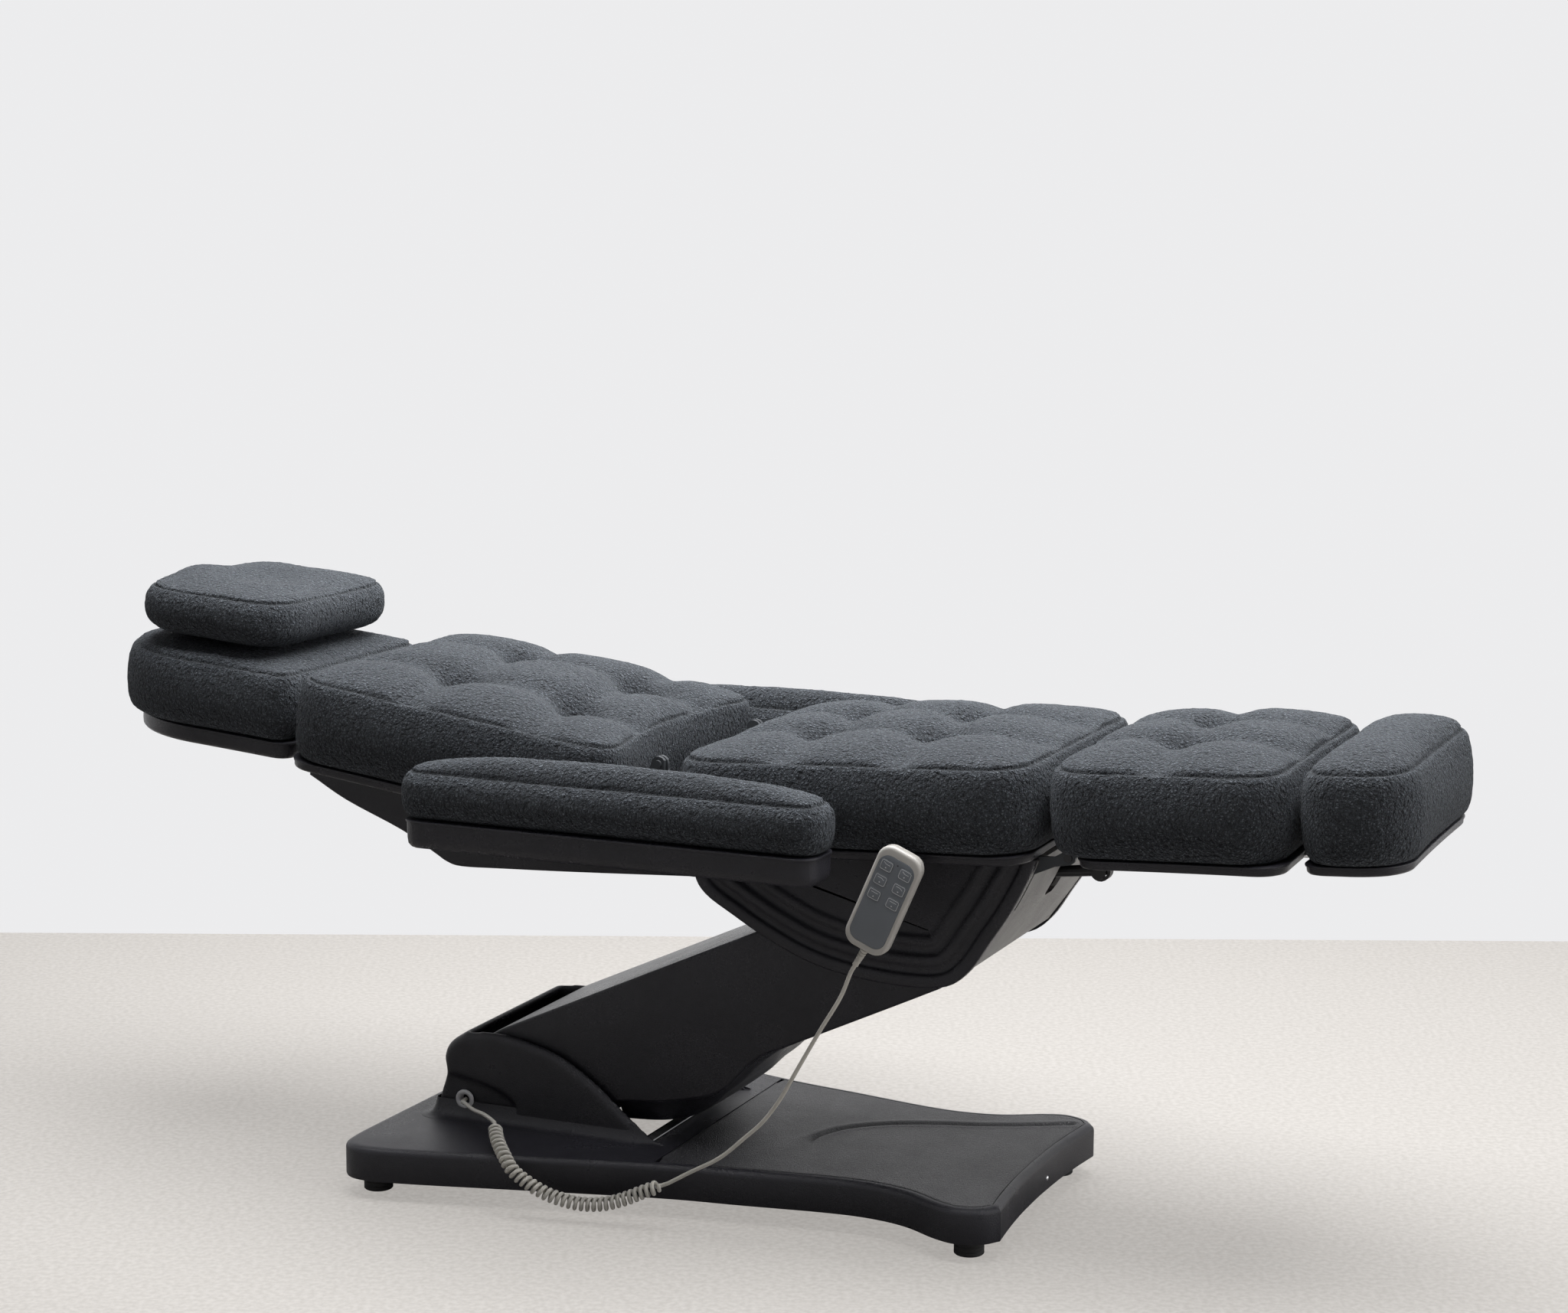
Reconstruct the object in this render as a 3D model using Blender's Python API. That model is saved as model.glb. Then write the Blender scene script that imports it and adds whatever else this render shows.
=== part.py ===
"""Eyelash extension bed: a three-motor treatment couch on one lift arm.

Metres, +Z up. +X runs from the head end to the foot end, -Y is the side with the handset,
and the origin lies on the floor under the middle of the base.
"""

import math

import bpy
import bmesh
from mathutils import Matrix, Vector

# Driving dimensions
GAP = 0.0003              # clearance between pieces that touch
BASE_TOP = 0.080
BASE_SKIRT = 0.028        # height of the skirt's lower edge over the floor
ARM_HALF = 0.145          # half width of the lift arm's cover
HOOD_HALF = 0.1625        # half width of the hood round the arm's foot
SHROUD_INNER = 0.175      # the seat's side shrouds stand between these two
SHROUD_OUTER = 0.190
SEAT_TILT = 3.0           # seat, leg rest and footrest rise towards the foot, in degrees
BACK_TILT = 7.5           # the backrest rises towards the head, in degrees
HEAD_TILT = 4.5
CUSHION_LOW = -0.019      # a cushion's underside in the seat's own plane
SEAM = 0.108              # height of a cushion's top seam in the same plane
TRAY_LOW = -0.034
CROWN = 0.031
CORD = 0.006
COIL_OUTER = 0.022
CURLS = 37

# Joint axes, in X and Z
LIFT = (-0.360, 0.130)            # lift arm on the base
LEVEL = (0.390, 0.450)            # seat carriage on the lift arm
LINK_RISE = 0.045                 # the parallel link lies this far above the arm's own axes
MOTOR_TOP = (0.160, 0.315)        # lift motor on the arm
MOTOR_FOOT = (-0.240, 0.085)      # its rod's end on the base
BACK_HINGE = (-0.060, 0.668)
BACK_MOTOR = (0.320, 0.512)
BACK_ROD_END = (-0.0256, 0.5402)  # where the motor's line meets the middle of its slotted end
BACK_PIN = (-0.0235, 0.5485)      # the backrest's pin, which rides in that slot
LEG_MOTOR = (0.300, 0.500)
LEG_ROD_END = (0.568, 0.532)
ARMREST_HINGE = (0.200, 0.5735)

ORIGIN = Matrix.Identity(4)
SEAT_PLANE = Matrix.Translation((0, 0, 0.590)) @ Matrix.Rotation(math.radians(-SEAT_TILT), 4, 'Y')
BACK_PLANE = Matrix.Translation((-0.060, 0, 0.600)) @ Matrix.Rotation(math.radians(BACK_TILT), 4, 'Y')
HEAD_ORIGIN = BACK_PLANE @ Vector((-0.640, 0, -0.041))
HEAD_PLANE = Matrix.Translation(HEAD_ORIGIN) @ Matrix.Rotation(math.radians(HEAD_TILT), 4, 'Y')
LEG_AXIS = SEAT_PLANE @ Vector((0.571, 0, -0.036))
LEG_HINGE = (LEG_AXIS.x, LEG_AXIS.z)

for old in list(bpy.data.objects):
    bpy.data.objects.remove(old, do_unlink=True)


# Materials
def material(name, colour, roughness, metallic=0.0):
    made = bpy.data.materials.new(name)
    made.use_nodes = True
    shader = made.node_tree.nodes["Principled BSDF"]
    shader.inputs["Base Color"].default_value = (*colour, 1.0)
    shader.inputs["Roughness"].default_value = roughness
    shader.inputs["Metallic"].default_value = metallic
    return made


BLACK = material("black_plastic", (0.012, 0.012, 0.014), 0.42)
SATIN = material("satin_black_plastic", (0.020, 0.020, 0.022), 0.30)
FABRIC = material("charcoal_boucle", (0.035, 0.042, 0.050), 0.95)
STEEL = material("steel", (0.45, 0.45, 0.46), 0.35, 1.0)
PAINTED = material("black_painted_steel", (0.025, 0.025, 0.027), 0.45, 0.3)
CHROME = material("chrome", (0.75, 0.75, 0.76), 0.12, 1.0)
WHITE = material("white_plastic", (0.80, 0.80, 0.82), 0.35)
GREY = material("handset_grey", (0.42, 0.41, 0.40), 0.45)
PANEL = material("handset_panel", (0.16, 0.18, 0.21), 0.35)
CABLE = material("grey_cable", (0.55, 0.52, 0.47), 0.45)
RUBBER = material("black_rubber", (0.010, 0.010, 0.010), 0.8)


# Making and placing pieces
def pivot(name, x, z, y=0.0, parent=None):
    """An empty on a joint's axis, which the moving pieces hang from."""
    empty = bpy.data.objects.new(name, None)
    bpy.context.scene.collection.objects.link(empty)
    empty.location = (x, y, z)
    if parent is not None:
        empty.parent = parent
        empty.matrix_parent_inverse = Matrix.Translation(-resting[parent.name])
    resting[name] = Vector((x, y, z))
    return empty


resting = {}


def piece(name, bm, mat, parent=None, plane=ORIGIN):
    """Turn a bmesh into a named object in its plane, hung from its joint's empty."""
    bmesh.ops.recalc_face_normals(bm, faces=bm.faces)
    mesh = bpy.data.meshes.new(name)
    bm.to_mesh(mesh)
    bm.free()
    mesh.materials.append(mat)
    obj = bpy.data.objects.new(name, mesh)
    bpy.context.scene.collection.objects.link(obj)
    if parent is not None:
        obj.parent = parent
        obj.matrix_parent_inverse = Matrix.Translation(-resting[parent.name])
    obj.matrix_basis = plane
    return obj


def smooth(obj, angle=35):
    obj.data.shade_smooth()
    obj.data.set_sharp_from_angle(angle=math.radians(angle))
    return obj


def boolean(target, operation, tools):
    """Join or cut with guides, which stay hidden and out of the build."""
    for tool in tools:
        tool.hide_render = True
        tool.display_type = 'WIRE'
        step = target.modifiers.new(tool.name, 'BOOLEAN')
        step.operation = operation
        step.object = tool
    return target


# Basic solids, each as a bmesh
def prism(outline, low, high, axis='Y'):
    """A flat outline pushed through from low to high. On Y it holds X and Z, on Z it holds X and Y."""
    bm = bmesh.new()
    rings = []
    for depth in (low, high):
        if axis == 'Y':
            rings.append([bm.verts.new((a, depth, b)) for a, b in outline])
        else:
            rings.append([bm.verts.new((a, b, depth)) for a, b in outline])
    bridge(bm, rings[0], rings[1])
    bm.faces.new(rings[0])
    bm.faces.new(rings[1])
    return bm


def bridge(bm, first, second):
    count = len(first)
    for i in range(count):
        j = (i + 1) % count
        bm.faces.new((first[i], first[j], second[j], second[i]))


def box(low, high):
    outline = [(low[0], low[2]), (high[0], low[2]), (high[0], high[2]), (low[0], high[2])]
    return prism(outline, low[1], high[1])


def rod(start, end, radius, sides=16, hole=0.0):
    """A round bar between two points, or a sleeve where it has a hole."""
    start, end = Vector(start), Vector(end)
    turn = (end - start).to_track_quat('Z', 'Y')
    bm = bmesh.new()
    rings = []
    for size in ((radius, hole) if hole else (radius,)):
        for centre in (start, end):
            ring = []
            for i in range(sides):
                angle = 2 * math.pi * i / sides
                ring.append(bm.verts.new(centre + turn @ Vector((size * math.cos(angle),
                                                                 size * math.sin(angle), 0))))
            rings.append(ring)
    bridge(bm, rings[0], rings[1])
    if hole:
        bridge(bm, rings[2], rings[3])
        bridge(bm, rings[0], rings[2])
        bridge(bm, rings[1], rings[3])
    else:
        bm.faces.new(rings[0])
        bm.faces.new(rings[1])
    return bm


def cross_rod(at, low, high, radius, sides=16):
    """A round bar along Y through a point in X and Z."""
    return rod((at[0], low, at[1]), (at[0], high, at[1]), radius, sides)


def turned(profile, centre, axis, sides=20):
    """A closed profile of radius and height, turned about an axis through the centre."""
    turn = Vector(axis).to_track_quat('Z', 'Y')
    bm = bmesh.new()
    rings = []
    for radius, height in profile:
        ring = []
        for i in range(sides):
            angle = 2 * math.pi * i / sides
            spot = Vector((radius * math.cos(angle), radius * math.sin(angle), height))
            ring.append(bm.verts.new(Vector(centre) + turn @ spot))
        rings.append(ring)
    for first, second in zip(rings, rings[1:] + rings[:1]):
        bridge(bm, first, second)
    return bm


def arc(centre, radius, start, end, steps):
    """Points round an arc in degrees."""
    spots = []
    for i in range(steps + 1):
        angle = math.radians(start + (end - start) * i / steps)
        spots.append((centre[0] + radius * math.cos(angle), centre[1] + radius * math.sin(angle)))
    return spots


def curve_through(points, steps):
    """A smooth open curve through the points, with its ends kept."""
    vectors = [Vector(p) for p in points]
    padded = [2 * vectors[0] - vectors[1]] + vectors + [2 * vectors[-1] - vectors[-2]]
    spots = []
    for i in range(1, len(padded) - 2):
        a, b, c, d = padded[i - 1:i + 3]
        for k in range(steps):
            t = k / steps
            spots.append(0.5 * (2 * b + (c - a) * t + (2 * a - 5 * b + 4 * c - d) * t ** 2
                                + (3 * b - a - 3 * c + d) * t ** 3))
    spots.append(vectors[-1])
    return spots


def bar_outline(start, end, radius, steps=6):
    """The outline of a link: a straight bar with round ends."""
    angle = math.degrees(math.atan2(end[1] - start[1], end[0] - start[0]))
    return arc(start, radius, angle + 90, angle + 270, steps) + arc(end, radius, angle - 90,
                                                                    angle + 90, steps)


def shifted(at, dx, dz):
    return (at[0] + dx, at[1] + dz)


# Base
HALF_OUTLINE = [(-0.510, 0.0), (-0.515, 0.20), (-0.516, 0.30), (-0.507, 0.338), (-0.472, 0.356),
                (-0.400, 0.345), (-0.240, 0.302), (-0.030, 0.247), (0.100, 0.225), (0.220, 0.204),
                (0.290, 0.200), (0.350, 0.212), (0.405, 0.241), (0.443, 0.251), (0.478, 0.238)]
END_FACE = [(0.497, 0.213), (0.490, 0.150), (0.485, 0.080), (0.483, 0.0)]


def base_outline(inset=0.0):
    """The slab seen from above, pinched at its waist, with an open curve across the foot end."""
    near = [Vector(p) for p in curve_through(HALF_OUTLINE, 2)] + [Vector(p) for p in END_FACE]
    near = near[1:-1]
    loop = [Vector((p.x, -p.y)) for p in near] + [Vector((0.483, 0.0))]
    loop += [Vector((p.x, p.y)) for p in reversed(near)] + [Vector((-0.510, 0.0))]
    if inset == 0.0:
        return [tuple(p) for p in loop]
    spots = []
    for i, here in enumerate(loop):
        before, after = loop[i - 1], loop[(i + 1) % len(loop)]
        along = (after - before).normalized()
        spots.append(tuple(here + inset * Vector((-along.y, along.x))))
    return spots


base_cover = piece("base_cover", prism(base_outline(), BASE_SKIRT, BASE_TOP, 'Z'), SATIN)
under_cut = piece("base_cover_underside", prism(base_outline(0.006), 0.0, 0.074, 'Z'), BLACK)
arm_well = piece("base_cover_well", box((-0.430, -0.147, 0.060), (-0.105, 0.147, 0.100)), BLACK)
PLATE_START = -0.040      # the hood stands on the slab behind this line
plate_seat = piece("top_plate_seat", prism(base_outline(0.013), 0.0786, 0.090, 'Z'), BLACK)
boolean(plate_seat, 'DIFFERENCE', [piece("seat_limit", box((-0.600, -0.500, 0.0), (PLATE_START, 0.500, 0.2)),
                                         BLACK)])
boolean(base_cover, 'DIFFERENCE', [under_cut, arm_well, plate_seat])
smooth(base_cover, 30)

top_plate = piece("top_plate", prism(base_outline(0.0138), 0.0786 + GAP, BASE_TOP + 0.0004, 'Z'), BLACK)
boolean(top_plate, 'DIFFERENCE', [piece("plate_limit", box((-0.600, -0.500, 0.0),
                                                           (PLATE_START + 0.001, 0.500, 0.2)), BLACK)])

chassis = piece("chassis_frame", box((-0.484, -0.318, 0.040), (-0.452, 0.318, 0.068)), PAINTED)
foot_cross = piece("chassis_foot_cross", box((0.428, -0.218, 0.040), (0.460, 0.218, 0.068)), PAINTED)
rails = [piece("chassis_rail_" + side, box((-0.470, y - 0.015, 0.042), (0.440, y + 0.015, 0.066)),
               PAINTED) for side, y in (("near", -0.130), ("far", 0.130))]
boolean(chassis, 'UNION', [foot_cross] + rails)

FEET = {"head_near": (-0.474, -0.300), "head_far": (-0.474, 0.300), "foot_near": (0.445, -0.200),
        "foot_far": (0.445, 0.200)}
for corner_name, (foot_x, foot_y) in FEET.items():
    pad = piece("levelling_foot_" + corner_name, rod((foot_x, foot_y, 0), (foot_x, foot_y, 0.024), 0.022, 20), RUBBER)
    stem = piece("foot_stem_" + corner_name, rod((foot_x, foot_y, 0.012), (foot_x, foot_y, 0.040 - GAP), 0.008, 12),
                 RUBBER)
    smooth(boolean(pad, 'UNION', [stem]))

piece("control_box", box((-0.050, -0.095, 0.036), (0.150, 0.095, 0.070)), BLACK)


# Hood and pivot stand round the arm's foot
hood_rear = [(-0.472, BASE_TOP + GAP), (-0.454, 0.094), (-0.446, 0.118), (-0.436, 0.150),
             (-0.440, 0.173), (-0.430, 0.196), (-0.402, 0.216)]
hood_front = [(-0.352, 0.2215), (-0.295, 0.2145), (-0.236, 0.197), (-0.177, 0.162),
              (-0.125, 0.120), (-0.086, 0.090), (-0.066, BASE_TOP + GAP)]
hood_outline = hood_rear + [tuple(p) for p in curve_through(hood_front, 2)]
hood = piece("tower_hood", prism(hood_outline, -HOOD_HALF, HOOD_HALF), SATIN)
hood_inside = [(-0.434, 0.060), (-0.425, 0.150), (-0.428, 0.172), (-0.418, 0.190), (-0.397, 0.206),
               (-0.397, 0.260), (0.020, 0.260), (0.020, 0.060)]
hood_tools = [piece("hood_inside", prism(hood_inside, -0.152, 0.152), BLACK)]
recess = [(-0.520, 0.060), (-0.520, 0.150), (-0.430, 0.150), (-0.345, 0.136), (-0.314, 0.120),
          (-0.306, 0.101), (-0.318, 0.086), (-0.345, 0.079), (-0.345, 0.060)]
for side in (-1, 1):
    edges = sorted((side * 0.1585, side * 0.170))
    hood_tools.append(piece("hood_recess_%d" % side, prism(recess, *edges), BLACK))
GROMMET = (-0.402, 0.109)
hood_tools.append(piece("grommet_hole", cross_rod(GROMMET, -0.170, -0.140, 0.0120), BLACK))
INLET_LOW, INLET_HIGH = (0.034, 0.094), (0.086, 0.126)
hood_tools.append(piece("inlet_hole", box((-0.480, INLET_LOW[0], INLET_LOW[1]),
                                          (-0.400, INLET_HIGH[0], INLET_HIGH[1])), BLACK))
boolean(hood, 'DIFFERENCE', hood_tools)
smooth(hood, 30)

grommet_profile = [(0.0075, 0.0), (0.0155, 0.0), (0.0150, 0.0030), (0.0125, 0.0042), (0.0095, 0.0038),
                   (0.0075, 0.0015)]
ring = turned(grommet_profile, (GROMMET[0], -0.1585 - GAP, GROMMET[1]), (0, -1, 0), 16)
grommet = smooth(piece("cord_grommet", ring, WHITE))
sleeve = piece("grommet_sleeve", rod((GROMMET[0], -0.1600, GROMMET[1]), (GROMMET[0], -0.150, GROMMET[1]),
                                     0.0117, 16, 0.0075), WHITE)
boolean(grommet, 'UNION', [sleeve])

inlet = piece("mains_inlet", box((-0.455, INLET_LOW[0] + GAP, INLET_LOW[1] + GAP),
                                 (-0.412, INLET_HIGH[0] - GAP, INLET_HIGH[1] - GAP)), BLACK)
inlet_pocket = piece("inlet_pocket", box((-0.470, 0.045, 0.101), (-0.435, 0.075, 0.119)), BLACK)
boolean(inlet, 'DIFFERENCE', [inlet_pocket])

cheek = [(-0.395, 0.0683), (-0.395, 0.135), (-0.382, 0.184), (-0.368, 0.192), (-0.352, 0.192),
         (-0.340, 0.180), (-0.325, 0.140), (-0.200, 0.086), (-0.200, 0.0683)]
stand = piece("pivot_stand", prism(cheek, -0.131, -0.123), PAINTED)
far_cheek = piece("pivot_stand_far_cheek", prism(cheek, 0.123, 0.131), PAINTED)
stand_bar = piece("pivot_stand_bar", box((-0.256, -0.127, 0.0683), (-0.224, 0.127, 0.0713)), PAINTED)
motor_ears = []
for ear_y in (-0.0475, -0.0175):
    ear = [(-0.256, 0.070), (-0.224, 0.070), (-0.228, 0.088), (-0.236, 0.097), (-0.244, 0.097),
           (-0.252, 0.088)]
    motor_ears.append(piece("motor_ear_%d" % len(motor_ears), prism(ear, ear_y - 0.0025, ear_y + 0.0025),
                            PAINTED))
motor_pin = piece("motor_pin", cross_rod(MOTOR_FOOT, -0.050, -0.015, 0.005, 12), PAINTED)
boolean(stand, 'UNION', [far_cheek, stand_bar] + motor_ears + [motor_pin])
link_foot = shifted(LIFT, 0, LINK_RISE)
boolean(stand, 'UNION', [piece("stand_link_pin", cross_rod(link_foot, 0.050, 0.127, 0.006, 12), PAINTED)])
boolean(stand, 'DIFFERENCE', [piece("stand_bore", cross_rod(LIFT, -0.140, 0.140, 0.0125 + GAP), PAINTED)])

smooth(piece("lower_shaft", cross_rod(LIFT, -0.135, 0.135, 0.0125), STEEL))

# Lift arm
lift_axis = pivot("lift_axis", *LIFT)
ARM_SKIN = [(-0.362, 0.2165), (0.200, 0.4760), (0.330, 0.500), (0.363, 0.488), (0.3925, 0.3765),
            (0.311, 0.337), (0.131, 0.251), (0.088, 0.232), (0.060, 0.204), (0.035, 0.174),
            (0.001, 0.158), (-0.069, 0.142), (-0.139, 0.135), (-0.215, 0.118), (-0.310, 0.100),
            (-0.362, 0.098), (-0.392, 0.112), (-0.402, 0.145), (-0.392, 0.186)]
arm_cover = piece("arm_cover", prism(ARM_SKIN, -ARM_HALF, ARM_HALF), SATIN, lift_axis)
arm_hollow = [(-0.450, 0.050), (-0.450, 0.1695), (0.200, 0.4695), (0.200, 0.600), (0.550, 0.600),
              (0.550, 0.050)]
arm_inside = piece("arm_inside", prism(arm_hollow, -0.1375, 0.1375), BLACK)
boolean(arm_cover, 'DIFFERENCE', [arm_inside])
smooth(arm_cover, 30)

# Belly pan under the arm: it swells down between the arm's sides
PAN_STATIONS = [(-0.150, 0.134, 0.0935), (-0.101, 0.139, 0.0965), (-0.069, 0.143, 0.1020),
                (-0.040, 0.149, 0.1110), (-0.006, 0.157, 0.1310), (0.022, 0.170, 0.1590),
                (0.045, 0.187, 0.1780), (0.070, 0.213, 0.2040), (0.100, 0.237, 0.2290), (0.131, 0.251, 0.2485)]
PAN_WIDTHS = [(-0.1368, 0.0), (-0.126, 0.35), (-0.100, 0.92), (0.0, 1.0), (0.100, 0.92), (0.126, 0.35),
              (0.1368, 0.0)]
pan_bm = bmesh.new()
pan_rows = []
for rise in (0.0, 0.005):
    for station_x, edge_z, low_z in PAN_STATIONS:
        row = []
        for width_y, drop in PAN_WIDTHS:
            row.append(pan_bm.verts.new((station_x, width_y, edge_z + (low_z - edge_z) * drop + rise)))
        pan_rows.append(row)
pan_count = len(PAN_STATIONS)
for layer in (0, pan_count):
    for i in range(layer, layer + pan_count - 1):
        for j in range(len(PAN_WIDTHS) - 1):
            pan_bm.faces.new((pan_rows[i][j], pan_rows[i][j + 1], pan_rows[i + 1][j + 1], pan_rows[i + 1][j]))
lower_rim = pan_rows[0] + [r[-1] for r in pan_rows[1:pan_count]]
lower_rim += list(reversed(pan_rows[pan_count - 1][:-1])) + [r[0] for r in reversed(pan_rows[1:pan_count - 1])]
upper = pan_rows[pan_count:]
upper_rim = upper[0] + [r[-1] for r in upper[1:]] + list(reversed(upper[-1][:-1]))
upper_rim += [r[0] for r in reversed(upper[1:-1])]
bridge(pan_bm, lower_rim, upper_rim)
smooth(piece("arm_belly_pan", pan_bm, SATIN, lift_axis), 40)

# Steel frame inside the arm
BEAM = 0.024
arm_frame = piece("arm_frame", prism(bar_outline(LIFT, LEVEL, BEAM), -0.119, -0.111), PAINTED, lift_axis)
frame_parts = [piece("arm_far_beam", prism(bar_outline(LIFT, LEVEL, BEAM), 0.111, 0.119), PAINTED, lift_axis)]
for side in (-1, 1):
    lug = cross_rod(MOTOR_TOP, side * 0.115 - 0.004, side * 0.115 + 0.004, 0.020, 14)
    frame_parts.append(piece("arm_lug_%d" % side, lug, PAINTED, lift_axis))
frame_parts.append(piece("arm_motor_tube", cross_rod(MOTOR_TOP, -0.115, 0.115, 0.007, 12), PAINTED, lift_axis))
frame_parts.append(piece("arm_cross_tube", cross_rod((0.010, 0.2879), -0.115, 0.115, 0.012, 12), PAINTED,
                         lift_axis))
boolean(arm_frame, 'UNION', frame_parts)
boolean(arm_frame, 'DIFFERENCE', [
    piece("arm_lower_bore", cross_rod(LIFT, -0.150, 0.150, 0.0125 + GAP), PAINTED, lift_axis),
    piece("arm_upper_bore", cross_rod(LEVEL, -0.150, 0.150, 0.0125 + GAP), PAINTED, lift_axis)])

# Parallel link that keeps the seat level
link_axis = pivot("link_axis", *link_foot)
link_head = shifted(LEVEL, 0, LINK_RISE)
link = piece("parallel_link", prism(bar_outline(link_foot, link_head, 0.0135), 0.056, 0.064), STEEL, link_axis)
boolean(link, 'DIFFERENCE', [
    piece("link_bore_%d" % i, cross_rod(end, 0.040, 0.080, 0.006 + GAP, 12), STEEL, link_axis)
    for i, end in enumerate((link_foot, link_head))])


# Motors: a housing with an eye at one end, and a rod with an eye at the other
def rod_eye(centre, along, rise, reach, radius, low, high):
    """A round eye, or a slot square to the rod where it reaches up and down from its raised middle."""
    if reach == 0.0:
        return cross_rod(centre, low, high, radius, 18)
    ends = [shifted(centre, along.z * height, -along.x * height) for height in (rise - reach, rise + reach)]
    return prism(bar_outline(*ends, radius), low, high)


def motor(name, fixed, rod_end, y, tube_length, eye_hole, housing_parent, rod_start=0.145, rise=0.0, reach=0.0):
    """A linear motor from its fixed eye to its rod's eye, both pins along Y."""
    start, end = Vector((fixed[0], y, fixed[1])), Vector((rod_end[0], y, rod_end[1]))
    along = (end - start).normalized()
    axis = pivot(name + "_axis", fixed[0], fixed[1], y, housing_parent)
    slide = pivot(name + "_rod_axis", fixed[0], fixed[1], y, axis)
    tube_start, tube_end = start + along * 0.014, start + along * tube_length
    tube = piece(name + "_tube", rod(tube_start, tube_end, 0.018), BLACK, axis)
    gearbox = piece(name + "_gearbox", rod(start + along * 0.030, start + along * 0.085, 0.0205),
                    BLACK, axis)
    eye = piece(name + "_tube_eye", cross_rod(fixed, y - 0.010, y + 0.010, 0.0145), BLACK, axis)
    boolean(tube, 'UNION', [gearbox, eye])
    boolean(tube, 'DIFFERENCE', [
        piece(name + "_eye_hole", cross_rod(fixed, y - 0.030, y + 0.030, 0.007 + GAP, 12), BLACK, axis),
        piece(name + "_rod_hole", rod(start + along * 0.100, end, 0.0085 + GAP, 14), BLACK, axis)])
    smooth(tube)
    bar = piece(name + "_rod", rod(start + along * rod_start, end - along * (eye_hole + 0.003), 0.0085, 14),
                CHROME, slide)
    outer_eye = rod_eye(rod_end, along, rise, reach, eye_hole + 0.0045, y - 0.008, y + 0.008)
    boolean(bar, 'UNION', [piece(name + "_rod_eye", outer_eye, CHROME, slide)])
    eye_cut = rod_eye(rod_end, along, rise, reach, eye_hole, y - 0.020, y + 0.020)
    boolean(bar, 'DIFFERENCE', [piece(name + "_rod_eye_hole", eye_cut, CHROME, slide)])
    return smooth(bar)


motor("lift_motor", MOTOR_TOP, MOTOR_FOOT, -0.0325, 0.250, 0.0070, lift_axis)

# Seat carriage
carriage_axis = pivot("carriage_axis", *LEVEL, 0.0, lift_axis)
PLATE_IN, PLATE_OUT = 0.163, 0.169
side_plate = arc(BACK_HINGE, 0.0115, 90, 205, 5) + [
    (-0.012, 0.548), (0.040, 0.476), (0.085, 0.462), (0.345, 0.425), (0.372, 0.416), (0.408, 0.416), (0.428, 0.440),
    (0.450, 0.480), (0.505, 0.548), (0.553, 0.570)]
side_plate += arc(LEG_HINGE, 0.0105, -70, 110, 5) + [
    (0.551, 0.5835), (0.020, 0.5560), (-0.004, 0.5560), (-0.024, 0.600), (-0.0485, 0.660)]
side_plate += arc(BACK_HINGE, 0.0115, 0, 60, 2)
carriage = piece("carriage_frame", prism(side_plate, -PLATE_OUT, -PLATE_IN), PAINTED, carriage_axis)
bars = {"far_plate": prism(side_plate, PLATE_IN, PLATE_OUT),
        "rear_bar": box((0.050, -0.166, 0.480), (0.074, 0.166, 0.502)),
        "front_bar": box((0.465, -0.166, 0.5605), (0.492, 0.166, 0.5735)),
        "middle_bar": box((0.314, -0.166, 0.541), (0.338, 0.166, 0.566)),
        "back_motor_pin": cross_rod(BACK_MOTOR, 0.052, 0.088, 0.007, 12),
        "leg_motor_pin": cross_rod(LEG_MOTOR, -0.026, 0.026, 0.007, 12),
        "link_pin": cross_rod(link_head, 0.050, 0.166, 0.006, 12),
        "near_back_pin": cross_rod(BACK_HINGE, -0.182, -0.166, 0.006, 12),
        "far_back_pin": cross_rod(BACK_HINGE, 0.166, 0.182, 0.006, 12)}
for side in (-1, 1):
    y = 0.070 + side * 0.0155
    bars["back_ear_%d" % side] = prism([(0.308, 0.502), (0.332, 0.502), (0.334, 0.545), (0.316, 0.545)],
                                       y - 0.0025, y + 0.0025)
    y = side * 0.0240
    bars["leg_ear_%d" % side] = prism([(0.288, 0.492), (0.312, 0.492), (0.332, 0.545), (0.316, 0.545)],
                                      y - 0.0025, y + 0.0025)
boolean(carriage, 'UNION', [piece("carriage_" + key, bm, PAINTED, carriage_axis)
                            for key, bm in bars.items()])
hinge_bores = {"level": (LEVEL, 0.0125, 16), "leg": (LEG_HINGE, 0.006, 12)}
boolean(carriage, 'DIFFERENCE', [
    piece("carriage_bore_%s_%d" % (key, side), cross_rod(at, side * 0.166 - 0.010, side * 0.166 + 0.010,
                                                         size + GAP, sides), PAINTED, carriage_axis)
    for key, (at, size, sides) in hinge_bores.items() for side in (-1, 1)])

smooth(piece("upper_shaft", cross_rod(LEVEL, -0.172, 0.172, 0.0125), STEEL, carriage_axis))

# Side shrouds: a plate whose lower edge carries two raised ribs
SHROUD_EDGE = [(0.001, 0.553), (0.003, 0.510), (0.021, 0.482), (0.065, 0.455), (0.116, 0.427),
               (0.181, 0.399), (0.251, 0.383), (0.341, 0.377), (0.400, 0.384), (0.435, 0.411),
               (0.464, 0.454), (0.494, 0.500), (0.519, 0.549), (0.531, 0.5805)]
RIBS = [(0.000, 0.0), (0.000, 0.011), (0.004, 0.015), (0.016, 0.015), (0.021, 0.010), (0.030, 0.010),
        (0.035, 0.014), (0.044, 0.014), (0.050, 0.008)]


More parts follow.
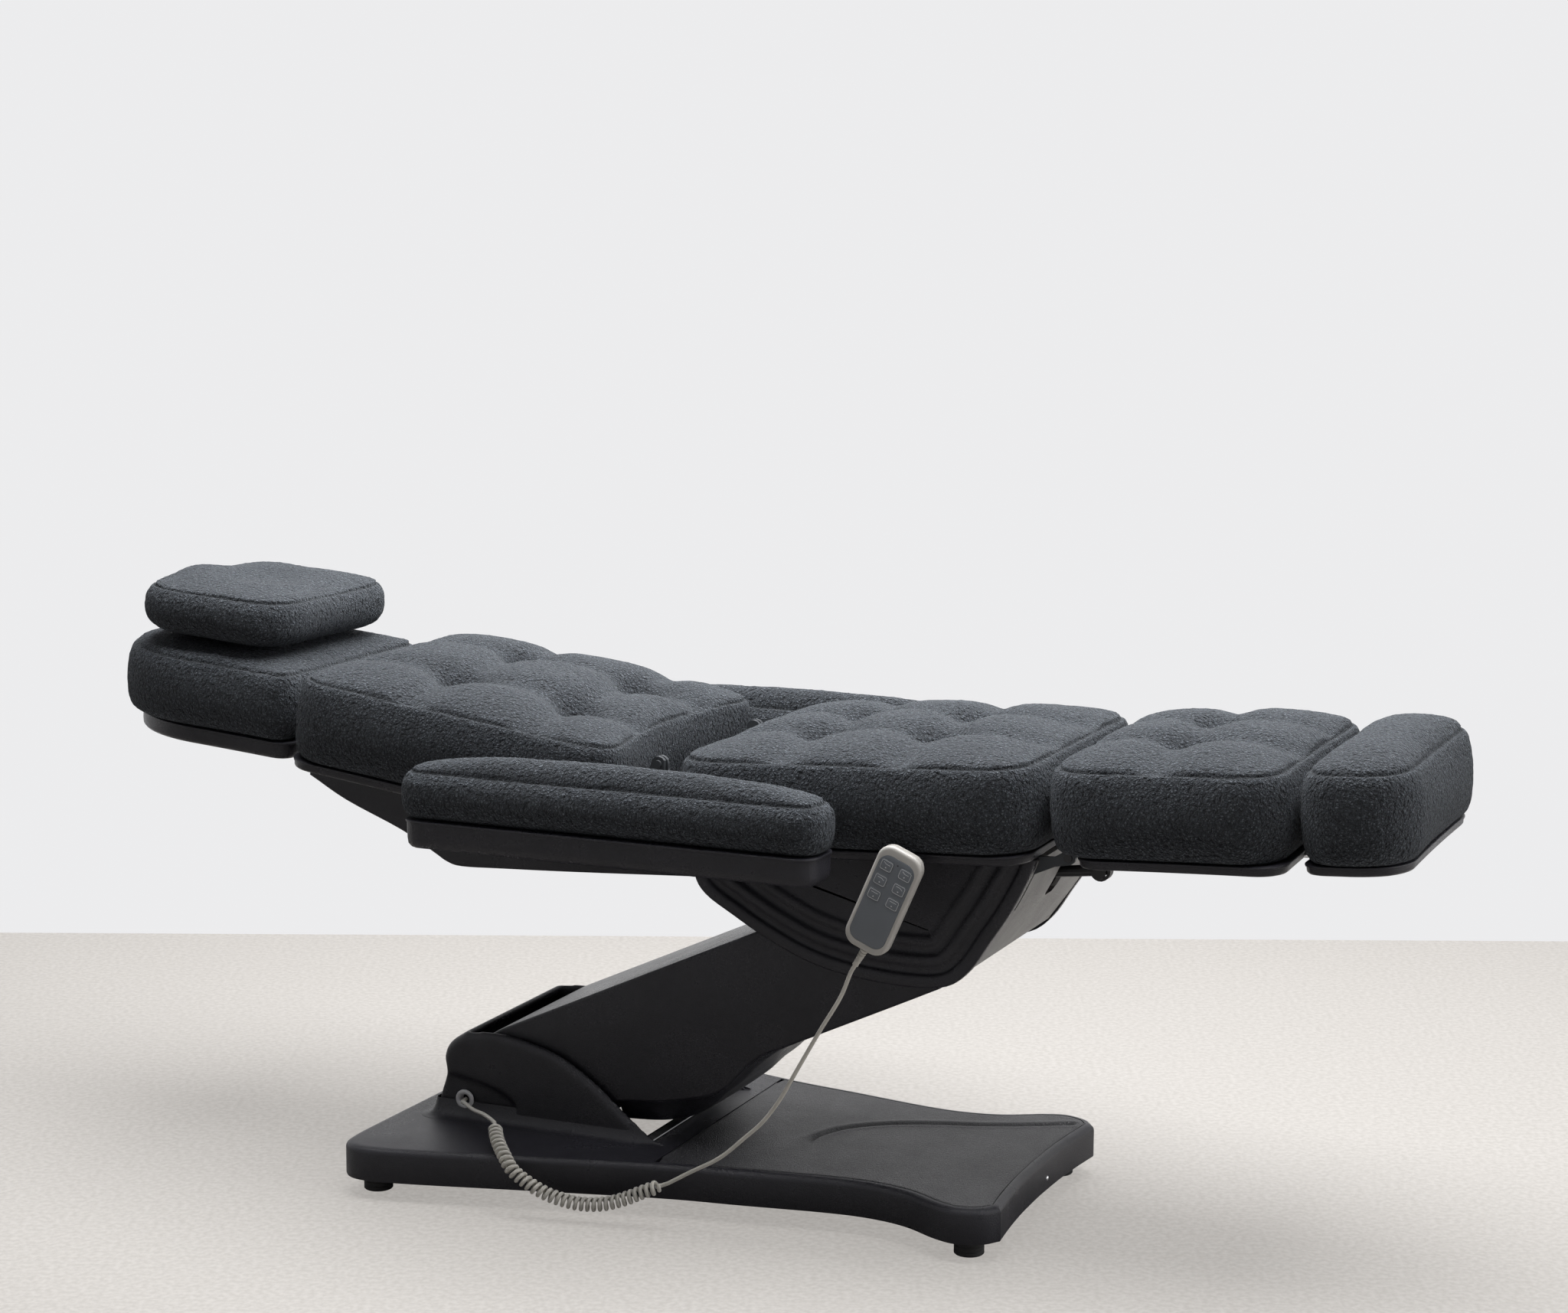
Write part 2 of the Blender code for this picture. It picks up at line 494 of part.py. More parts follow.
def shroud_ring(inset):
    """The shroud's outline drawn in from its lower edge, while its top edge stays."""
    edge = [Vector(p) for p in SHROUD_EDGE]
    top_left, top_right = edge[0], edge[-1]
    spots = []
    for i, here in enumerate(edge):
        before, after = edge[max(i - 1, 0)], edge[min(i + 1, len(edge) - 1)]
        along = (after - before).normalized()
        inward = Vector((-along.y, along.x))
        if i == 0:
            spots.append((top_left.x + inset, top_left.y + inset * 0.052))
        elif i == len(edge) - 1:
            spots.append((top_right.x - inset, top_right.y - inset * 0.052))
        else:
            spots.append(tuple(here + inward * inset))
    return spots


for side, side_name in ((-1, "near"), (1, "far")):
    shroud_bm = bmesh.new()
    shroud_rings = []
    for inset, depth in RIBS:
        y = side * (SHROUD_INNER + depth)
        shroud_rings.append([shroud_bm.verts.new((x, y, z)) for x, z in shroud_ring(inset)])
    for first, second in zip(shroud_rings, shroud_rings[1:]):
        bridge(shroud_bm, first, second)
    shroud_bm.faces.new(shroud_rings[0])
    shroud_bm.faces.new(shroud_rings[-1])
    smooth(piece("side_shroud_" + side_name, shroud_bm, SATIN, carriage_axis), 30)

END_EDGE = [(0.4300, 0.4085), (0.4640, 0.4560), (0.4940, 0.5020), (0.5190, 0.5505), (0.5300, 0.5770)]
end_inner = [(x - 0.0050, z + 0.0030) for x, z in reversed(END_EDGE[:-1])]
end_outline = END_EDGE + [(0.5245, 0.5770)] + end_inner
end_shroud = piece("end_shroud", prism(end_outline, -SHROUD_INNER + GAP, SHROUD_INNER - GAP), BLACK,
                   carriage_axis)
notches = []
for side in (-1, 1):
    low, high = sorted((side * 0.1622, side * 0.1698))
    notches.append(piece("end_slot_%d" % side, box((0.440, low, 0.500), (0.560, high, 0.600)), BLACK,
                         carriage_axis))
notches.append(piece("end_bar_slot", box((0.455, -0.1622, 0.5600), (0.4925, 0.1622, 0.600)), BLACK, carriage_axis))
v_notch = prism([(-0.034, 0.600), (-0.026, 0.545), (-0.021, 0.492), (0.021, 0.492), (0.026, 0.545),
                 (0.034, 0.600)], 0.0, 0.1)
for vertex in v_notch.verts:
    vertex.co = (0.440 + vertex.co.y * 1.5, vertex.co.x, vertex.co.z)
notches.append(piece("end_v_notch", v_notch, BLACK, carriage_axis))
boolean(end_shroud, 'DIFFERENCE', notches)
smooth(end_shroud, 30)


# Cushions and the trays under them
def side_stops(length, first_corner, last_corner, cells):
    """Grid lines from -1 to 1, closer together in the rounded corners."""
    a, b = 2 * first_corner / length, 2 * last_corner / length
    middle = [-1 + a + (2 - a - b) * i / cells for i in range(cells + 1)]
    return [-1, -1 + 0.35 * a] + middle + [1 - 0.35 * b, 1]


class Plan:
    """A rounded rectangle seen from above, whose sides draw in between its corners."""

    def __init__(self, start, end, half, start_corner, end_corner, draw_start=0.004, draw_end=0.004,
                 draw_side=0.004):
        self.start, self.end, self.half = start, end, half
        self.start_corner, self.end_corner = start_corner, end_corner
        self.draw_start, self.draw_end, self.draw_side = draw_start, draw_end, draw_side

    def spot(self, u, v, inset=0.0):
        """The point at u along and v across, both from -1 to 1."""
        first = self.start + inset + self.draw_start * (1 - v * v)
        last = self.end - inset - self.draw_end * (1 - v * v)
        half = self.half - inset - self.draw_side * (1 - u * u)
        x = first + (last - first) * (u + 1) / 2
        y = half * v
        at_start = u < 0
        corner = max((self.start_corner if at_start else self.end_corner) - inset, 0.004)
        centre_x = first + corner if at_start else last - corner
        beyond = centre_x - x if at_start else x - centre_x
        across = abs(y) - (half - corner)
        if beyond > 0 and across > 0:
            p, q = beyond / corner, across / corner
            beyond = corner * p * math.sqrt(1 - q * q / 2)
            across = corner * q * math.sqrt(1 - p * p / 2)
            x = centre_x - beyond if at_start else centre_x + beyond
            y = math.copysign(half - corner + across, y)
        return x, y


def cushion(name, plan, low, seam, crown, tufts, cells, mat, parent, plane, tuck=0.010):
    """A closed pad: flat below, full sides, a seam, and a crowned top with sewn tufts."""
    length = plan.end - plan.start
    us = side_stops(length, plan.start_corner, plan.end_corner, cells[0])
    end_corner = min(plan.start_corner, plan.end_corner)
    vs = side_stops(2 * plan.half, end_corner, end_corner, cells[1])
    bm = bmesh.new()
    top = []
    for u in us:
        row = []
        for v in vs:
            x, y = plan.spot(u, v, 0.016)
            fullness = (1 - abs(u) ** 3.2) * (1 - abs(v) ** 3.2)
            z = seam + crown * fullness ** 0.55
            for tuft_x, tuft_y, depth, reach in tufts:
                away = ((x - tuft_x) ** 2 + (y - tuft_y) ** 2) / reach ** 2
                z -= depth * math.exp(-away)
            row.append(bm.verts.new((x, y, z)))
        top.append(row)
    for i in range(len(us) - 1):
        for j in range(len(vs) - 1):
            bm.faces.new((top[i][j], top[i + 1][j], top[i + 1][j + 1], top[i][j + 1]))
    border = [(i, 0) for i in range(len(us))] + [(len(us) - 1, j) for j in range(1, len(vs))]
    border += [(i, len(vs) - 1) for i in range(len(us) - 2, -1, -1)]
    border += [(0, j) for j in range(len(vs) - 2, 0, -1)]
    rings = [[top[i][j] for i, j in border]]
    height = seam - low
    for inset, level in ((0.003, seam - 0.18 * height), (0.0, low + 0.30 * height), (tuck, low)):
        ring = []
        for i, j in border:
            x, y = plan.spot(us[i], vs[j], inset)
            ring.append(bm.verts.new((x, y, level)))
        rings.append(ring)
    for first, second in zip(rings, rings[1:]):
        bridge(bm, first, second)
    bm.faces.new(rings[-1])
    return smooth(piece(name, bm, mat, parent, plane), 60)


def tray(name, plan, low, high, mat, parent, plane, lip=0.006):
    """A moulded tray: a plate with rounded corners and an eased lower edge."""
    border = []
    for u_sign, v_sign in ((-1, -1), (1, -1), (1, 1), (-1, 1)):
        corner = plan.start_corner if u_sign < 0 else plan.end_corner
        along, across = 2 * corner / (plan.end - plan.start), corner / plan.half
        steps = [(1 - along, 1), (1 - 0.5 * along, 1), (1, 1), (1, 1 - 0.5 * across), (1, 1 - across)]
        if u_sign * v_sign > 0:
            steps.reverse()
        border += [(u_sign * a, v_sign * b) for a, b in steps]
    if plan.draw_end > 0.01:
        middle = [(1, v) for v in (-0.5, 0.0, 0.5)]
        border[10:10] = middle
    bm = bmesh.new()
    rings = []
    for inset, level in ((lip, low), (0.0, low + lip), (0.0, high)):
        rings.append([bm.verts.new((*plan.spot(u, v, inset), level)) for u, v in border])
    for first, second in zip(rings, rings[1:]):
        bridge(bm, first, second)
    bm.faces.new(rings[0])
    bm.faces.new(rings[-1])
    return smooth(piece(name, bm, mat, parent, plane), 30)


TRAY_TOP = CUSHION_LOW - 0.0006
seat_tray = tray("seat_tray", Plan(0.008, 0.536, 0.262, 0.045, 0.055), TRAY_LOW, TRAY_TOP, SATIN,
                 carriage_axis, SEAT_PLANE)
boolean(seat_tray, 'UNION', [
    piece("armrest_pin_%d" % side, cross_rod(ARMREST_HINGE, min(side * 0.250, side * 0.350),
                                             max(side * 0.250, side * 0.350), 0.006, 12), SATIN, carriage_axis)
    for side in (-1, 1)])
cushion("seat_cushion", Plan(-0.006, 0.5520, 0.275, 0.050, 0.060), CUSHION_LOW, SEAM - 0.002, CROWN,
        [(0.175, -0.085, 0.016, 0.045), (0.175, 0.085, 0.016, 0.045), (0.350, -0.085, 0.016, 0.045),
         (0.350, 0.085, 0.016, 0.045)], (10, 9), FABRIC, carriage_axis, SEAT_PLANE)

# Backrest
back_axis = pivot("back_axis", *BACK_HINGE, 0.0, carriage_axis)
BACK_LOW, BACK_SEAM = -0.0330, 0.0950
back_tray = tray("back_tray", Plan(-0.598, -0.040, 0.262, 0.050, 0.045, 0.004, 0.035), -0.0490,
                 BACK_LOW - 0.0006, SATIN, back_axis, BACK_PLANE)
BAR_Y, BAR_Z = 0.100, -0.041
boolean(back_tray, 'DIFFERENCE', [
    piece("head_bar_bore_%d" % side, rod((-0.620, side * BAR_Y, BAR_Z), (-0.330, side * BAR_Y, BAR_Z),
                                         0.0055 + GAP, 12), SATIN, back_axis, BACK_PLANE) for side in (-1, 1)])
cushion("back_cushion", Plan(-0.607, -0.031, 0.275, 0.055, 0.050, 0.004, 0.036), BACK_LOW, BACK_SEAM, CROWN + 0.004,
        [(-0.390, -0.105, 0.018, 0.050), (-0.390, 0.105, 0.018, 0.050), (-0.185, -0.105, 0.018, 0.050),
         (-0.185, 0.105, 0.018, 0.050)], (11, 9), FABRIC, back_axis, BACK_PLANE)

# Shell under the backrest, open upwards and towards the seat
def under_back(x):
    """Height of the back tray's underside at X."""
    return (BACK_PLANE @ Vector(((x + 0.0666) / math.cos(math.radians(BACK_TILT)), 0, -0.0494))).z


shell_low = [(-0.674, 0.598), (-0.608, 0.563), (-0.511, 0.525), (-0.454, 0.495), (-0.430, 0.482),
             (-0.404, 0.477), (-0.335, 0.480), (-0.204, 0.487), (-0.013, 0.499)]
shell_outline = [(-0.668, under_back(-0.668))] + shell_low + [(-0.013, under_back(-0.013))]
back_shell = piece("back_shell", prism(shell_outline, -0.160, 0.160), SATIN, back_axis)
shell_hollow = [(-0.661, 0.700), (-0.667, 0.6010), (-0.605, 0.5685), (-0.509, 0.5305), (-0.452, 0.5005),
                (-0.428, 0.4875), (-0.404, 0.4825), (-0.335, 0.4855), (-0.204, 0.4925), (0.020, 0.5055),
                (0.020, 0.700)]
shell_slot = box((-0.169, -0.200, 0.5480), (-0.111, 0.200, 0.5800))
boolean(back_shell, 'DIFFERENCE', [
    piece("back_shell_hollow", prism(shell_hollow, -0.155, 0.155), BLACK, back_axis),
    piece("back_shell_slot", shell_slot, BLACK, back_axis)])
smooth(back_shell, 30)

leaf = arc(BACK_HINGE, 0.0115, 30, 180, 5) + [(-0.088, 0.630), (-0.0975, 0.5560), (-0.240, 0.5725),
                                            (-0.240, 0.5645), (-0.100, 0.5440), (-0.076, 0.5500),
                                            (-0.052, 0.640)]
back_frame = piece("back_hinge_frame", prism(leaf, -0.1785, -0.1725), PAINTED, back_axis)
lug = [(-0.150, 0.5545), (-0.146, 0.5400), (-0.030, 0.5365), (-0.0165, 0.5385), (-0.0120, 0.5485),
       (-0.0165, 0.5590), (-0.030, 0.5600), (-0.090, 0.5545)]
frame_bars = [piece("back_far_leaf", prism(leaf, 0.1725, 0.1785), PAINTED, back_axis),
              piece("back_cross_plate", box((-0.165, -0.1755, 0.5515), (-0.115, 0.1755, 0.5565)), PAINTED,
                    back_axis),
              piece("back_motor_cross_pin", cross_rod(BACK_PIN, 0.055, 0.085, 0.005, 12), PAINTED, back_axis)]
for side in (-1, 1):
    y = 0.070 + side * 0.0125
    frame_bars.append(piece("back_lug_%d" % side, prism(lug, y - 0.002, y + 0.002), PAINTED, back_axis))
boolean(back_frame, 'UNION', frame_bars)
boolean(back_frame, 'DIFFERENCE', [
    piece("back_leaf_bore_%d" % side, cross_rod(BACK_HINGE, side * 0.1755 - 0.010, side * 0.1755 + 0.010,
                                                0.006 + GAP, 12), PAINTED, back_axis) for side in (-1, 1)])
motor("back_motor", BACK_MOTOR, BACK_ROD_END, 0.070, 0.265, 0.0073, carriage_axis, 0.118, 0.0131, 0.0132)

# Head section on two sliding bars
bars_axis = pivot("head_bars_axis", HEAD_ORIGIN.x, HEAD_ORIGIN.z, 0.0, back_axis)
head_bars = piece("head_bars", rod((-0.640, -BAR_Y, BAR_Z), (-0.450, -BAR_Y, BAR_Z), 0.0055, 12), CHROME,
                  bars_axis, BACK_PLANE)
boolean(head_bars, 'UNION', [
    piece("head_far_bar", rod((-0.640, BAR_Y, BAR_Z), (-0.450, BAR_Y, BAR_Z), 0.0055, 12), CHROME, bars_axis,
          BACK_PLANE),
    piece("head_hinge_rod", rod((-0.640, -0.130, BAR_Z), (-0.640, 0.130, BAR_Z), 0.006, 12), CHROME, bars_axis,
          BACK_PLANE)])
smooth(head_bars)
head_axis = pivot("head_axis", HEAD_ORIGIN.x, HEAD_ORIGIN.z, 0.0, bars_axis)
head_tray = tray("head_tray", Plan(-0.338, 0.012, 0.202, 0.175, 0.030, 0.0, 0.003), -0.018, 0.0100, SATIN,
                 head_axis, HEAD_PLANE)
head_tools = [piece("head_rod_bore", rod((0, -0.1305, 0), (0, 0.1305, 0), 0.006 + GAP, 14), SATIN, head_axis,
                    HEAD_PLANE)]
for side in (-1, 1):
    head_tools.append(piece("head_bar_slot_%d" % side, box((-0.012, side * BAR_Y - 0.008, -0.040),
                                                           (0.040, side * BAR_Y + 0.008, 0.020)), SATIN,
                            head_axis, HEAD_PLANE))
boolean(head_tray, 'DIFFERENCE', head_tools)
cushion("head_cushion", Plan(-0.3705, 0.016, 0.213, 0.190, 0.040, 0.0, 0.004), 0.0106, 0.1180, 0.020,
        [(-0.115, 0.0, 0.004, 0.10)], (7, 8), FABRIC, head_axis, HEAD_PLANE)
pillow_axis = pivot("pillow_axis", -0.830, 0.800, 0.0, head_axis)
cushion("pillow", Plan(-0.312, -0.018, 0.190, 0.090, 0.090), 0.1400, 0.2110, 0.017,
        [(-0.165, 0.0, 0.016, 0.10)], (4, 6), FABRIC, pillow_axis, HEAD_PLANE, 0.055)

# Leg rest
leg_axis = pivot("leg_axis", *LEG_HINGE, 0.0, carriage_axis)
leg_tray = tray("leg_tray", Plan(0.604, 0.8985, 0.256, 0.040, 0.045), TRAY_LOW, TRAY_TOP, SATIN, leg_axis,
                SEAT_PLANE)
SLIDE_Y, SLIDE_Z = 0.120, -0.0268
boolean(leg_tray, 'DIFFERENCE', [
    piece("leg_slide_bore_%d" % side, rod((0.690, side * SLIDE_Y, SLIDE_Z), (0.960, side * SLIDE_Y, SLIDE_Z),
                                          0.0048 + GAP, 12), SATIN, leg_axis, SEAT_PLANE) for side in (-1, 1)])
cushion("leg_cushion", Plan(0.5555, 0.9055, 0.269, 0.060, 0.055), CUSHION_LOW, SEAM - 0.003, CROWN,
        [(0.722, -0.085, 0.014, 0.045), (0.722, 0.085, 0.014, 0.045)], (6, 8), FABRIC, leg_axis, SEAT_PLANE)
leg_frame = piece("leg_hinge_frame", cross_rod(LEG_HINGE, -0.172, 0.172, 0.006, 12), PAINTED, leg_axis)
leg_parts = []
for side in (-1, 1):
    strap = box((0.560, side * 0.110 - 0.015, -0.0400), (0.700, side * 0.110 + 0.015, -0.0346))
    leg_parts.append(piece("leg_strap_%d" % side, strap, PAINTED, leg_axis, SEAT_PLANE))
lever_x, lever_z = LEG_ROD_END
lever = [(LEG_HINGE[0] - 0.009, LEG_HINGE[1] + 0.004), (lever_x - 0.009, lever_z - 0.006),
         (lever_x, lever_z - 0.011), (lever_x + 0.009, lever_z - 0.006), (LEG_HINGE[0] + 0.009, LEG_HINGE[1] + 0.004)]
for side in (-1, 1):
    leg_parts.append(piece("leg_lever_%d" % side, prism(lever, side * 0.0125 - 0.002, side * 0.0125 + 0.002),
                           PAINTED, leg_axis))
leg_parts.append(piece("leg_lever_pin", cross_rod(LEG_ROD_END, -0.014, 0.014, 0.0045, 12), PAINTED, leg_axis))
boolean(leg_frame, 'UNION', leg_parts)
motor("leg_motor", LEG_MOTOR, LEG_ROD_END, 0.0, 0.160, 0.0110, carriage_axis)

# Footrest, which slides out of the leg rest
foot_axis = pivot("foot_axis", 0.920, 0.620, 0.0, leg_axis)
foot_tray = tray("foot_tray", Plan(0.9165, 1.0580, 0.232, 0.035, 0.080), TRAY_LOW, TRAY_TOP, SATIN, foot_axis,
                 SEAT_PLANE)
boolean(foot_tray, 'UNION', [
    piece("foot_slide_bar_%d" % side, rod((0.710, side * SLIDE_Y, SLIDE_Z), (0.980, side * SLIDE_Y, SLIDE_Z),
                                          0.0048, 12), STEEL, foot_axis, SEAT_PLANE) for side in (-1, 1)])
cushion("foot_cushion", Plan(0.9090, 1.0715, 0.249, 0.040, 0.095), CUSHION_LOW, SEAM, CROWN - 0.006, [], (4, 8),
        FABRIC, foot_axis, SEAT_PLANE)

# Armrests, one each side, level
ARMREST_IN, ARMREST_OUT = 0.311, 0.410
for side, side_name in ((-1, "near"), (1, "far")):
    arm_y = side * (ARMREST_IN + ARMREST_OUT) / 2
    swing = pivot("armrest_%s_axis" % side_name, *ARMREST_HINGE, 0.0, carriage_axis)
    half = (ARMREST_OUT - ARMREST_IN) / 2
    beside = Matrix.Translation((0, arm_y, 0))
    rest = tray("armrest_tray_" + side_name, Plan(-0.366, 0.284, half - 0.003, 0.030, 0.030, 0.001, 0.001, 0.001),
                0.5580, 0.6010, SATIN, swing, beside, 0.012)
    bore_ends = sorted((side * (ARMREST_IN - 0.02), side * 0.3515))
    boolean(rest, 'DIFFERENCE', [piece("armrest_tray_bore_" + side_name, cross_rod(ARMREST_HINGE, *bore_ends,
                                                                                 0.006 + GAP, 12), SATIN, swing)])
    cushion("armrest_cushion_" + side_name, Plan(-0.377, 0.292, half, 0.040, 0.040, 0.0, 0.0, 0.002), 0.6016,
            0.6740, 0.022, [], (7, 2), FABRIC, swing, beside)

# Handset on its hook
HANDSET_CENTRE = Vector((0.3457, -0.2915, 0.5278))
HANDSET_TILT = 23.5
handset_axis = pivot("handset_axis", HANDSET_CENTRE.x, HANDSET_CENTRE.z, HANDSET_CENTRE.y, carriage_axis)
HANDSET_PLANE = (Matrix.Translation(HANDSET_CENTRE) @ Matrix.Rotation(math.radians(HANDSET_TILT), 4, 'Y')
                 @ Matrix.Rotation(math.radians(90), 4, 'X'))


def rounded(half_x, half_y, radius, steps=4):
    """A rounded rectangle round the origin."""
    spots = []
    for sx, sy, start in ((1, 1, 0), (-1, 1, 90), (-1, -1, 180), (1, -1, 270)):
        spots += arc((sx * (half_x - radius), sy * (half_y - radius)), radius, start, start + 90, steps)
    return spots


def slab(outlines):
    """Rings of one outline at several heights, closed above and below."""
    bm = bmesh.new()
    rings = [[bm.verts.new((x, y, z)) for x, y in outline] for outline, z in outlines]
    for first, second in zip(rings, rings[1:]):
        bridge(bm, first, second)
    bm.faces.new(rings[0])
    bm.faces.new(rings[-1])
    return bm


case = piece("handset_case", slab([(rounded(0.0303, 0.0750, 0.016), -0.0095), (rounded(0.0343, 0.0790, 0.019), -0.006),
                                   (rounded(0.0343, 0.0790, 0.019), 0.006), (rounded(0.0313, 0.0760, 0.016), 0.0095)]),
             GREY, handset_axis, HANDSET_PLANE)
PANEL_DROP = 0.0016


def on_panel(half_x, half_y, radius, x=0.0, y=-PANEL_DROP, steps=4):
    """A rounded rectangle on the handset's front."""
    return [(a + x, b + y) for a, b in rounded(half_x, half_y, radius, steps)]


panel_seat = piece("handset_panel_seat", slab([(on_panel(0.0283, 0.0673, 0.016), z) for z in (0.0080, 0.0150)]),
                   GREY, handset_axis, HANDSET_PLANE)
boolean(case, 'DIFFERENCE', [panel_seat])
smooth(case, 30)
handset_panel = piece("handset_panel", slab([(on_panel(0.0280, 0.0670, 0.0157), z) for z in (0.0080 + GAP, 0.0098)]),
                      PANEL, handset_axis, HANDSET_PLANE)
KEYS = [(row, column) for row in (0, 1, 2) for column in (0, 1)]
key_wells = []
for row, column in KEYS:
    key_x, key_y = (column - 0.5) * 0.030, 0.0497 - row * 0.0231
    name = "key_%s_%s" % (("back", "leg", "height")[row], ("up", "down")[column])
    well = slab([(on_panel(0.0098, 0.0080, 0.003, key_x, key_y, 1), z) for z in (0.0070, 0.0120)])
    key_wells.append(piece(name + "_well", well, PANEL, handset_axis, HANDSET_PLANE))
    spot = HANDSET_PLANE @ Vector((key_x, key_y, 0.0092))
    key_axis = pivot(name + "_axis", spot.x, spot.z, spot.y, handset_axis)
    button = slab([(on_panel(0.0095, 0.0077, 0.003, key_x, key_y, 1), z) for z in (0.0092, 0.0104)])
    piece(name, button, PANEL, key_axis, HANDSET_PLANE)
boolean(handset_panel, 'DIFFERENCE', key_wells)

RELIEF = [(0.0025, -0.0795), (-0.0010, -0.1070)]
relief_start = HANDSET_PLANE @ Vector((RELIEF[0][0], RELIEF[0][1], 0.0))
relief_end = HANDSET_PLANE @ Vector((RELIEF[1][0], RELIEF[1][1], 0.0))
relief_along = (relief_end - relief_start).normalized()
relief_length = (relief_end - relief_start).length
relief_profile = [(0.0031, 0.0), (0.0058, 0.0)]
for i in range(3):
    base_z = relief_length * (0.12 + 0.28 * i)
    relief_profile += [(0.0056 - 0.0003 * i, base_z), (0.0042, base_z + 0.0012), (0.0042, base_z + 0.0024)]
relief_profile += [(0.0046, relief_length), (0.0031, relief_length)]
relief = turned(relief_profile, relief_start + relief_along * GAP, relief_along, 10)
smooth(piece("strain_relief", relief, CABLE, handset_axis), 50)

hook = piece("handset_hook", box((0.330, -0.2812, 0.5600), (0.356, -0.200, 0.5650)), BLACK, carriage_axis)
hook_tab = piece("handset_hook_tab", box((0.330, -0.2812, 0.5630), (0.356, -0.2770, 0.5850)), BLACK, carriage_axis)
boolean(hook, 'UNION', [hook_tab])


# Handset cord: from the grommet, through a long coil, up to the handset
def cord_tube(name, points, radius, parent, resolution=2):
    curve = bpy.data.curves.new(name, 'CURVE')
    curve.dimensions = '3D'
    curve.bevel_depth = radius
    curve.bevel_resolution = resolution
    curve.use_fill_caps = True
    spline = curve.splines.new('POLY')
    spline.points.add(len(points) - 1)
    for point, spot in zip(spline.points, points):
        point.co = (*spot, 1.0)
    curve.materials.append(CABLE)
    obj = bpy.data.objects.new(name, curve)
    bpy.context.scene.collection.objects.link(obj)
    if parent is not None:
        obj.parent = parent
        obj.matrix_parent_inverse = Matrix.Translation(-resting[parent.name])
    return obj


COIL_ROUTE = [(-0.292, -0.263, 0.1085), (-0.272, -0.292, 0.0985), (-0.246, -0.318, 0.0850), (-0.226, -0.330, 0.0700),
              (-0.203, -0.331, 0.0560), (-0.180, -0.328, 0.0440), (-0.155, -0.322, 0.0345), (-0.120, -0.316, 0.0290),
              (-0.085, -0.310, 0.0320), (-0.055, -0.303, 0.0415), (-0.030, -0.297, 0.0530), (-0.002, -0.290, 0.0650)]
START_ROUTE = [(GROMMET[0], -0.1560, GROMMET[1]), (GROMMET[0] + 0.001, -0.1700, GROMMET[1] - 0.001),
               (-0.386, -0.1880, 0.1125), (-0.362, -0.2060, 0.1105), (-0.334, -0.2250, 0.1125),
               (-0.312, -0.2440, 0.1140)]
END_ROUTE = [(0.040, -0.280, 0.0880), (0.086, -0.275, 0.1150), (0.124, -0.274, 0.1490), (0.155, -0.276, 0.1790),
             (0.184, -0.280, 0.2180), (0.211, -0.285, 0.2640), (0.247, -0.289, 0.3260), (0.279, -0.291, 0.3790)]


def even_points(points, spacing, steps=12):
    """Points an even distance apart along a smooth curve through the route."""
    fine = curve_through(points, steps)
    lengths = [0.0]
    for first, second in zip(fine, fine[1:]):
        lengths.append(lengths[-1] + (second - first).length)
    count = max(2, round(lengths[-1] / spacing))
    spots, k = [], 0
    for i in range(count + 1):
        target = lengths[-1] * i / count
        while k < len(fine) - 2 and lengths[k + 1] < target:
            k += 1
        share = (target - lengths[k]) / max(lengths[k + 1] - lengths[k], 1e-9)
        spots.append(fine[k].lerp(fine[k + 1], min(max(share, 0.0), 1.0)))
    return spots, lengths[-1]


def helix(points, curls, radius, per_curl):
    """One unbroken spiral round a route; it grows out of the route's line and back into it."""
    fine, length = even_points(points, 0.002)
    turn_axis = Vector((0, 1, 0))
    total = curls * per_curl
    spots = []
    for i in range(total + 1):
        share = i / total
        place = share * (len(fine) - 1)
        k = min(int(place), len(fine) - 2)
        centre = fine[k].lerp(fine[k + 1], place - k)
        along = (fine[k + 1] - fine[k]).normalized()
        side = along.cross(turn_axis).normalized()
        up = side.cross(along).normalized()
        reach = radius * min(1.0, i / (0.7 * per_curl), (total - i) / (0.7 * per_curl))
        angle = 2 * math.pi * i / per_curl
        spots.append(centre + reach * (math.cos(angle) * side + math.sin(angle) * up))
    return spots, fine


COIL_SPOTS, coil_line = helix(COIL_ROUTE, CURLS, (COIL_OUTER - CORD) / 2, 8)
first_along = (coil_line[1] - coil_line[0]).normalized()
last_along = (coil_line[-1] - coil_line[-2]).normalized()
COIL_START = coil_line[0] - first_along * CORD
COIL_END = coil_line[-1] + last_along * CORD
coil_points = [COIL_START] + COIL_SPOTS + [COIL_END]
cord_tube("cord_coil", coil_points, CORD / 2, None, 1)
start_points, start_length = even_points(START_ROUTE + [COIL_START - first_along * CORD], 0.014)
start_points.append(COIL_START - first_along * GAP)
cord_tube("cord_start", start_points, CORD / 2, None)
relief_tip = relief_end + relief_along * 2 * GAP
end_points, end_length = even_points([COIL_END + last_along * CORD] + END_ROUTE
                                     + [relief_tip + relief_along * 0.012], 0.016)
end_points = [COIL_END + last_along * GAP] + end_points + [relief_tip]
cord_tube("cord_end", end_points, CORD / 2, carriage_axis)

least = min((a - b).length for i, a in enumerate(COIL_SPOTS) for j, b in enumerate(COIL_SPOTS)
            if 6 <= j - i <= 20)
coil_length = sum((b - a).length for a, b in zip(coil_points, coil_points[1:]))
print("coil: least gap to itself %.2f mm" % ((least - CORD) * 1000))
print("cord: start %.3f m, coil %.3f m, end %.3f m" % (start_length, coil_length, end_length))
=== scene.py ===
"""Eyelash extension bed with three motors and a lift arm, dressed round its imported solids.

Metres, +Z up. +X runs from the head end to the foot end, -Y is the side with the handset,
and the origin lies on the floor under the middle of the base.
"""

import math

import bmesh
import bpy
from mathutils import Matrix, Vector, noise


